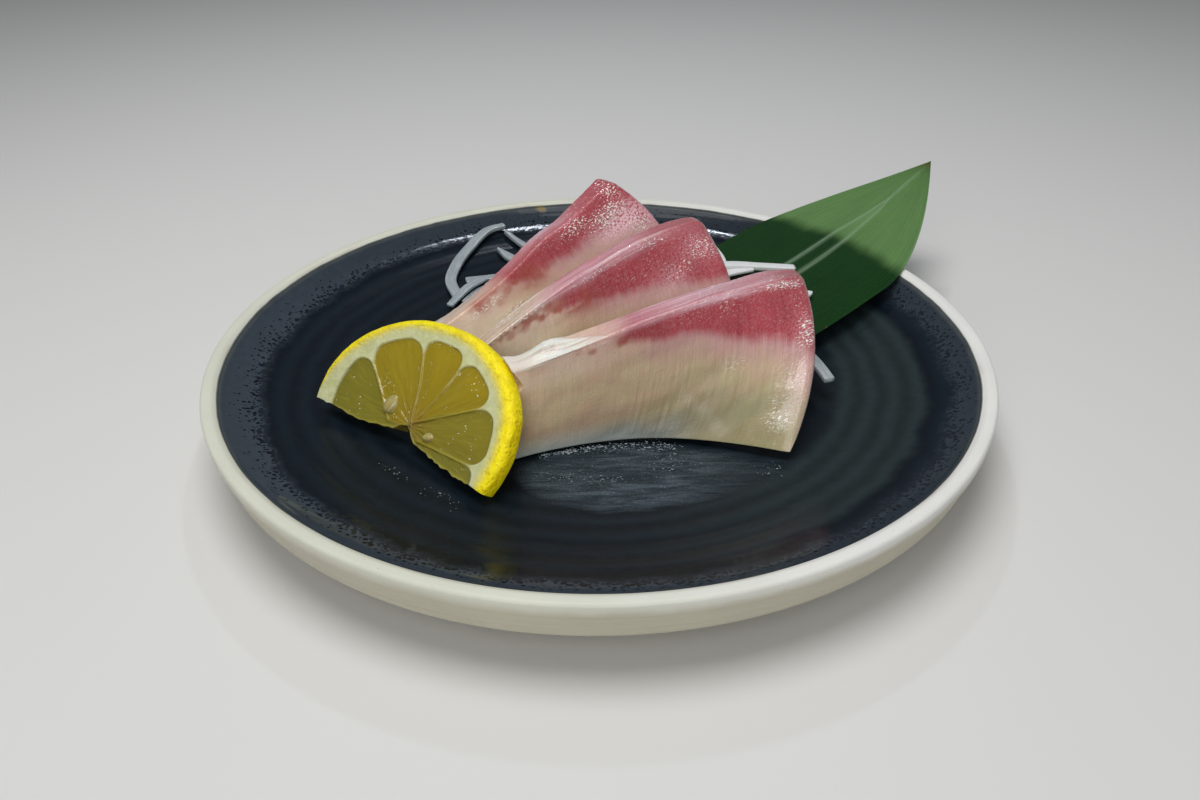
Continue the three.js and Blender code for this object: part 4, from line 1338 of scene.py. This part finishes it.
def shred_rings(paths, tops, widths, thicks, around=12, square=0.5, end=0.45):
    """Shreds along many paths at once, count x stations x 3: at each station a rectangle with round corners,
    as powers of a cosine and a sine, which shrinks to a blunt point over the last stretch at each end."""
    along = unit(np.gradient(paths, axis=1))
    side = unit(np.cross(along, tops))
    top = np.cross(side, along)
    angle = (np.arange(around) + 0.5) / around * TURN
    across = np.sign(np.cos(angle)) * np.abs(np.cos(angle)) ** square / 2
    over = np.sign(np.sin(angle)) * np.abs(np.sin(angle)) ** square / 2
    steps = np.linalg.norm(np.diff(paths, axis=1), axis=-1)
    run = np.concatenate([np.zeros((len(paths), 1)), np.cumsum(steps, axis=1)], axis=1)
    from_end = np.minimum(run, run[:, -1:] - run)
    blunt = np.sqrt(1 - (1 - np.clip(from_end / end, 0, 1)) ** 2 * 0.97)
    wide = widths * blunt
    thick = thicks * blunt
    rings = (
        paths[:, :, None]
        + (wide[..., None] * across)[..., None] * side[:, :, None]
        + (thick[..., None] * over)[..., None] * top[:, :, None]
    )
    return rings, stack(run[..., None], wide[..., None] * across, thick[..., None] * over)


def loose_path(points, thick, count=60):
    """Middle line of a loose shred: its underside's height over the well, plus half its thickness."""
    x, y, lift = smooth_path(points, count).T
    return stack(x, y, well_height(x, y) + CLEARANCE + thick / 2 + lift)


def end_close(count):
    """Places from 0 to 1 along a shred, closer together at both ends."""
    close = 0.5 * (1 - np.cos(np.linspace(0, math.pi, count)))
    return blend(np.linspace(0, 1, count), close, 0.6)


def node_surface(name, spread=6):
    """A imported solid's triangles, points spread over them, and the outward normal at each point."""
    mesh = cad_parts[name].data
    mesh.calc_loop_triangles()
    corners = np.empty(len(mesh.vertices) * 3)
    mesh.vertices.foreach_get("co", corners)
    corners = corners.reshape(-1, 3) / MM
    index = np.empty(len(mesh.loop_triangles) * 3, int)
    mesh.loop_triangles.foreach_get("vertices", index)
    triangles = corners[index.reshape(-1, 3)]
    normal = unit(area_normals(triangles))
    step = np.array([(a, b) for a in range(spread) for b in range(spread - a)]) / spread + 1 / (3 * spread)
    shares = np.stack([1 - step.sum(1), step[:, 0], step[:, 1]], -1)
    points = np.einsum("sc,tcx->tsx", shares, triangles).reshape(-1, 3)
    return triangles, points, np.repeat(normal, len(shares), axis=0)


def area_normals(triangles):
    """A vector square to each triangle, twice as long as its area."""
    return np.cross(triangles[:, 1] - triangles[:, 0], triangles[:, 2] - triangles[:, 0])


def nearest(points, samples):
    """Index of the nearest sample for each point, from the squared distances of blocks of points."""
    found = []
    for block in np.array_split(points, max(1, len(points) // 400)):
        gap = (samples**2).sum(-1) - 2 * block @ samples.T
        found.append(gap.argmin(axis=1))
    return np.concatenate(found)


def heap_paths(count, rng, stations=18):
    """Middle lines of the shreds in the heap. Each starts as a bent line that touches the heap's surface,
    is laid on the surface point by point, smoothed, and sunk a little so that the shreds cross over each
    other."""
    triangles, samples, normals = node_surface("daikon_heap")
    area = np.linalg.norm(area_normals(triangles), axis=-1)
    chance = np.repeat(area, len(samples) // len(area)) * (normals[:, 2] > -0.2)
    start = samples[rng.choice(len(samples), count, p=chance / chance.sum())]
    facing = rng.uniform(0, TURN, count)
    along = stack(np.cos(facing), np.sin(facing), 0)
    aside = stack(-np.sin(facing), np.cos(facing), 0)
    size = rng.uniform(*HEAP_LENGTH, count)[:, None, None]
    bend = rng.normal(0, 0.2, count)[:, None, None]
    t = (end_close(stations) - 0.5)[None, :, None]
    wiggle = rng.normal(0, 0.05, count)[:, None, None] * np.sin(t * 9)
    sideways = bend * (t * t * 4 - 0.5) + wiggle
    paths = start[:, None] + size * (t * along[:, None] + sideways * aside[:, None])
    for _ in range(2):
        near = nearest(paths.reshape(-1, 3), samples).reshape(paths.shape[:2])
        paths = samples[near]
        for _ in range(2):
            paths[:, 1:-1] = (paths[:, :-2] + paths[:, 1:-1] * 2 + paths[:, 2:]) / 4
    near = nearest(paths.reshape(-1, 3), samples).reshape(paths.shape[:2])
    tops = normals[near]
    tops[:, 1:-1] = tops[:, :-2] + tops[:, 1:-1] + tops[:, 2:]
    tops = unit(tops)
    sunk = rng.uniform(*HEAP_SINK, count)[:, None, None]
    sunk = sunk + 0.5 * np.cos(t * rng.uniform(4, 11, count)[:, None, None])
    paths = samples[near] * 0.35 + paths * 0.65 - tops * np.maximum(sunk, 0.7)
    lowest = well_height(paths[..., 0], paths[..., 1]) + CLEARANCE + 0.8
    paths[..., 2] = np.maximum(paths[..., 2], lowest)
    return paths, tops


def radish_finish(settings):
    """Watery radish: a grey translucent body with white threads along each shred."""
    finish = Finish(
        "radish", Subsurface_Weight=0.55, Subsurface_Radius=(1.0, 1.0, 0.95), Subsurface_Scale=2.2 * MM,
        IOR=1.36, Coat_Roughness=0.12, Coat_Weight=0.5,
    )
    threads_at = finish.layer_vector("threads")
    threads = finish.noise(threads_at, (9, 0.4, 0.4), 3.0, 0.6)
    cloudy = finish.noise(threads_at, (4, 1.5, 1.5), 2.0)
    milky = finish.layer("milky")
    white = threads.ramp(0.5, 0.7) * 0.4 + cloudy * 0.4 + milky * 0.55
    coats = (white, settings.thread), (milky.ramp(0.9, 1.6), tone(250, 252, 250))
    surface = finish.cover(settings.flesh, *coats)
    rough = 0.34 - 0.1 * cloudy
    return finish.feed(Base_Color=surface, Roughness=rough, Normal=finish.bumps((threads, 0.12)))


# ---- the water ----


def film_points(depth, rows=150, across=60):
    """The film of water in front of the fish: between two wavy edges, deepest in its middle, with ripples."""
    near_line, far_line = smooth_path(FILM_NEAR, rows), smooth_path(FILM_FAR, rows)
    half_ring = (np.arange(across) + 0.5) / across
    place = np.concatenate([half_ring, half_ring[::-1]])
    upper = np.arange(2 * across) < across
    t = place[None, :, None]
    flat = near_line[:, None] * (1 - t) + far_line[:, None] * t
    x, y = flat[..., 0], flat[..., 1]
    chart = stack(x, y, 0)
    y = y + 0.9 * lumps(chart, 5, 61) * (1 - place) ** 2
    swell = np.sin(place * math.pi) ** 0.5 * np.sin(np.linspace(0.02, 0.98, rows) * math.pi)[:, None] ** 0.5
    ripple = 1 + 0.35 * lumps(chart, (4.5, 1.4, 3), 62) + 0.3 * lumps(chart, (1.6, 0.9, 3), 63)
    z = well_height(x, y) + np.where(upper, 0.12 + depth * swell * ripple, -0.2)
    return stack(x, y, z), dict(swell=swell, flow=stack(x, y, 0))


def film_finish(settings):
    """Water on the glaze: soft grey streaks that follow the plate's rings, with clear glaze between them; the
    grey is a painted reflection and its paler grains painted glints.
    """
    finish = Finish("water film", IOR=1.2, Roughness=0.3)
    flow = finish.layer_vector("flow")
    streaks = finish.noise(flow, (12, 2, 3), 4.0, 0.6, 0.8)
    painted_glints = finish.noise(flow, (0.7, 0.45, 1), 2.0)
    swell = finish.layer("swell")
    # How much of the painted reflection shows: grey streaks and grains in the water.
    painted_reflection = 0.2 + 0.38 * streaks.ramp(0.38, 0.66) + painted_glints.ramp(0.6, 0.72) * 0.22
    fade = 1 - finish.parts(flow)[0].ramp(16, 42) * 0.8
    normal = finish.bumps((streaks, 0.3))
    # The paler grains are painted glints on the water.
    surface = finish.mix(painted_glints.ramp(0.6, 0.74), settings.film, tone(132, 146, 152))
    return finish.feed(Base_Color=surface, Alpha=swell.ramp(0.05, 0.85) * painted_reflection * fade, Normal=normal)


def drop_points(settings, rng, rows=7, around=10):
    """Small beads on the glaze: flattened domes, scattered along lines in front of the fish and beside the
    lemon's cut edge, close together near each line."""
    lines = np.array(BEAD_LINES)
    count = settings.drops
    which = rng.choice(len(lines), count, p=lines[:, 5] / lines[:, 5].sum())
    t = rng.uniform(0, 1, (count, 1))
    place = blend(lines[which, :2], lines[which, 2:4], t) + rng.normal(0, 1, (count, 2)) * lines[which, 4:5]
    radius = settings.drop / MM * rng.lognormal(0, 0.45, count)
    rise = radius * rng.uniform(0.35, 0.6, count)
    angle = np.arange(around) / around * TURN
    lat = np.linspace(0, math.pi, rows)
    spread = np.sin(lat)[None, :, None] * radius[:, None, None]
    x = place[:, 0, None, None] + spread * np.cos(angle) * rng.uniform(1, 2.2, (count, 1, 1))
    y = place[:, 1, None, None] + spread * np.sin(angle)
    upper = np.cos(lat)[None, :, None] * rise[:, None, None]
    return stack(x, y, well_height(x, y) + np.where(upper > 0, upper, upper * 0.4) + 0.14)


def bead_finish(settings):
    """Small beads of water, painted pale grey-white so that they show as glints: painted highlights on the
    glaze.
    """
    finish = Finish("water beads", IOR=1.33, Roughness=0.12)
    bright = finish.noise(finish.place(), 0.5, 1.0).ramp(0.3, 0.7)
    return finish.feed(Base_Color=finish.mix(bright, tone(120, 130, 136), settings.bead))


# ---- operators ----


class SASHIMI_OT_plate(bpy.types.Operator):
    """Add the thrown stoneware plate"""

    bl_idname = "sashimi.plate"
    bl_label = "Stoneware Plate"

    def execute(self, context):
        settings = context.scene.sashimi_stoneware
        points, glaze = plate_points(settings)
        layers = dict(glaze=glaze)
        add_loft("stoneware_plate", points, stoneware_finish(settings), "stoneware", layers, "plate")
        return {"FINISHED"}


class SASHIMI_OT_fish(bpy.types.Operator):
    """Add the three slices of raw fish"""

    bl_idname = "sashimi.fish"
    bl_label = "Fish Slices"

    def execute(self, context):
        settings = context.scene.sashimi_fish
        material = flesh_finish(settings)
        for number, (name, fish) in enumerate(SLICES.items()):
            seed = 100 + 20 * number
            points, chart, u, v, w = slice_points(fish, seed, settings)
            layers = slice_layers(fish, chart, u, v, w, seed)
            layers["flow"] = chart + 70.0 * number
            u, v, w = np.broadcast_arrays(u, v, w)
            layers["fat"] = front_marks(fish, u, v, w) if name == "front" else 0 * v
            add_loft(f"fish_{name}", points, material, "raw_fish", layers, f"sashimi_slice_{name}")
        return {"FINISHED"}


class SASHIMI_OT_lemon(bpy.types.Operator):
    """Add the lemon slice and its pips"""

    bl_idname = "sashimi.lemon"
    bl_label = "Lemon Slice"

    def execute(self, context):
        settings = context.scene.sashimi_lemon
        points, layers = lemon_points()
        add_loft("lemon_round", points, lemon_finish(settings), "lemon", layers, "lemon_slice")
        rings, lines = (np.stack(parts) for parts in zip(*map(pip_points, PIPS)))
        add_loft("lemon_pips", rings, pip_finish(settings), "lemon", dict(fibre=lines))
        return {"FINISHED"}


class SASHIMI_OT_leaf(bpy.types.Operator):
    """Add the leaf that lies over the rim"""

    bl_idname = "sashimi.leaf"
    bl_label = "Leaf"

    def execute(self, context):
        settings = context.scene.sashimi_leaf
        points, layers = leaf_points(settings)
        add_loft("leaf_blade", points, leaf_finish(settings), "leaf", layers, "bamboo_leaf")
        return {"FINISHED"}


class SASHIMI_OT_radish(bpy.types.Operator):
    """Add the shredded radish: the heap, its core and the loose shreds"""

    bl_idname = "sashimi.radish"
    bl_label = "Shredded Radish"

    def execute(self, context):
        settings = context.scene.sashimi_radish
        rng = np.random.default_rng(7)
        material = radish_finish(settings)
        for name, points in SHREDS.items():
            rings, threads = self.loose_shred(points, SHRED_WIDTHS[name], SHRED_THICK)
            milky = np.full(threads.shape[:-1], SHRED_MILKY.get(name, 0))
            layers = dict(threads=threads + rng.uniform(0, 50), milky=milky)
            add_loft(f"shred_{name}", rings, material, "daikon", layers, f"daikon_strand_{name}")
        ends = [self.loose_shred(points, widths, 1) for points, *widths in LOOSE_ENDS]
        rings, threads = (np.concatenate(parts) for parts in zip(*ends))
        threads = threads + rng.uniform(0, 90, (len(ends), 1, 1, 3))
        layers = dict(threads=threads, milky=1.6 * ease(-30, 30, rings[..., 0]))
        add_loft("shred_ends", rings, material, "daikon", layers)
        self.add_heap(settings, rng, material)
        self.add_core(material)
        return {"FINISHED"}

    def add_heap(self, settings, rng, material):
        """The heap's shreds, each of its own width, thickness and milkiness."""
        count = settings.count
        paths, tops = heap_paths(count, rng)
        widths = settings.width / MM * rng.uniform(0.7, 1.25, (count, 1)) * np.ones(paths.shape[:2])
        thicks = settings.thick / MM * rng.uniform(0.7, 1.2, (count, 1)) * np.ones(paths.shape[:2])
        rings, threads = shred_rings(paths, tops, widths, thicks, 8)
        threads = threads + rng.uniform(0, 90, (count, 1, 1, 3))
        milky = np.broadcast_to(rng.uniform(0.85, 1.5, (count, 1, 1)), threads.shape[:-1])
        layers = dict(threads=threads, milky=milky)
        add_loft("daikon_shreds", rings, material, "daikon", layers, "daikon_heap")

    def loose_shred(self, points, widths, thick):
        """Rings of one loose shred, with its width carried along its path and a little uneven."""
        path = loose_path(points, thick)[None]
        tops = np.broadcast_to(np.array([0.0, 0.0, 1.0]), path.shape)
        place = np.linspace(0, 1, path.shape[1])
        widths = np.interp(place, np.linspace(0, 1, len(widths)), widths)
        widths = widths * (1 + 0.05 * lumps(path, 5, 21))
        return shred_rings(path, tops, widths, np.full_like(widths, thick), 24, 0.35)

    def add_core(self, material):
        """The core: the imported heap's own surface moved in along its normals, under the shreds."""
        triangles, _, _ = node_surface("daikon_heap", 1)
        corners = triangles.reshape(-1, 3)
        _, first, inverse = np.unique(np.round(corners * 100), axis=0, return_index=True, return_inverse=True)
        faces = inverse.reshape(-1, 3)
        points = corners[first]
        normals = np.zeros_like(points)
        for corner in range(3):
            np.add.at(normals, faces[:, corner], area_normals(triangles))
        points = points - unit(normals) * CORE_INSET
        points[:, 2] = np.maximum(points[:, 2], well_height(points[:, 0], points[:, 1]) + CLEARANCE)
        faces = np.concatenate([faces, faces[:, :1]], axis=1)
        layers = dict(threads=points, milky=0.55 + 0 * points[:, 0])
        add_piece("daikon_core", points, faces, material, "daikon", layers, None, 180)


class SASHIMI_OT_water(bpy.types.Operator):
    """Add the film of water and the drops on the glaze"""

    bl_idname = "sashimi.water"
    bl_label = "Water"

    def execute(self, context):
        settings = context.scene.sashimi_water
        rng = np.random.default_rng(11)
        points, layers = film_points(settings.depth / MM)
        add_loft("water_film", points, film_finish(settings), None, layers)
        add_loft("water_drops", drop_points(settings, rng), bead_finish(settings))
        return {"FINISHED"}


class SASHIMI_OT_stage(bpy.types.Operator):
    """Add the floor, the lights and the camera"""

    bl_idname = "sashimi.stage"
    bl_label = "Floor, Light and Camera"

    def execute(self, context):
        settings = context.scene.sashimi_stage
        scene = context.scene
        scene.view_settings.view_transform = "Standard"
        self.add_floor(settings)
        self.add_room(scene, settings)
        for name, *details in LIGHTS:
            self.add_light(name, getattr(settings, name), *details)
        camera = bpy.data.cameras.new("camera")
        camera.lens = settings.lens
        camera.sensor_width = 36
        camera.clip_start = 0.01
        holder = bpy.data.objects.new("camera", camera)
        holder.location = settings.place
        holder.rotation_euler = settings.turn
        scene.collection.objects.link(holder)
        scene.camera = holder
        return {"FINISHED"}

    def add_floor(self, settings):
        """A plain square under the foot."""
        mesh = bpy.data.meshes.new("floor")
        corners = [(x * FLOOR_HALF, y * FLOOR_HALF, 0) for x, y in ((-1, -1), (1, -1), (1, 1), (-1, 1))]
        mesh.from_pydata(corners, [], [(0, 1, 2, 3)])
        finish = Finish("floor", Roughness=0.8, Base_Color=(*settings.floor, 1))
        mesh.materials.append(finish.material)
        floor = bpy.data.objects.new("floor", mesh)
        bpy.context.scene.collection.objects.link(floor)

    def add_room(self, scene, settings):
        """An even pale light from all round."""
        world = bpy.data.worlds.new("room")
        world.use_nodes = True
        background = world.node_tree.nodes["Background"]
        background.inputs["Color"].default_value = (0.93, 0.96, 1, 1)
        background.inputs["Strength"].default_value = settings.room
        scene.world = world

    def add_light(self, name, power, size, place, light_colour):
        """A round soft light that faces the middle of the plate."""
        light = bpy.data.lights.new(name, "AREA")
        light.shape = "DISK"
        light.size = size
        light.energy = power
        light.color = light_colour
        holder = bpy.data.objects.new(name, light)
        holder.location = place
        x, y, z = place
        holder.rotation_euler = (math.atan2(math.hypot(x, y), z), 0, math.atan2(x, -y))
        bpy.context.scene.collection.objects.link(holder)


OPERATORS = (
    SASHIMI_OT_plate,
    SASHIMI_OT_fish,
    SASHIMI_OT_lemon,
    SASHIMI_OT_leaf,
    SASHIMI_OT_radish,
    SASHIMI_OT_water,
    SASHIMI_OT_stage,
)


class SASHIMI_PT_panel(bpy.types.Panel):
    """Lists the pieces and their settings"""

    bl_label = "Sashimi Plate"
    bl_idname = "SASHIMI_PT_panel"
    bl_space_type = "VIEW_3D"
    bl_region_type = "UI"
    bl_category = "Sashimi"

    def draw(self, context):
        for operator, (name, group) in zip(OPERATORS, SETTINGS.items()):
            box = self.layout.box()
            box.operator(operator.bl_idname)
            for setting in group.__annotations__:
                box.prop(getattr(context.scene, name), setting)


def register():
    """Registers the settings, the operators and the panel."""
    for name, group in SETTINGS.items():
        bpy.utils.register_class(group)
        setattr(bpy.types.Scene, name, PointerProperty(type=group))
    for operator in OPERATORS:
        bpy.utils.register_class(operator)
    bpy.utils.register_class(SASHIMI_PT_panel)


def unregister():
    """Takes them all out again."""
    bpy.utils.unregister_class(SASHIMI_PT_panel)
    for operator in reversed(OPERATORS):
        bpy.utils.unregister_class(operator)
    for name, group in SETTINGS.items():
        delattr(bpy.types.Scene, name)
        bpy.utils.unregister_class(group)


def main():
    """Builds every piece and the stage."""
    register()
    for operator in OPERATORS:
        getattr(bpy.ops.sashimi, operator.bl_idname.split(".")[1])()


if __name__ == "__main__":
    main()
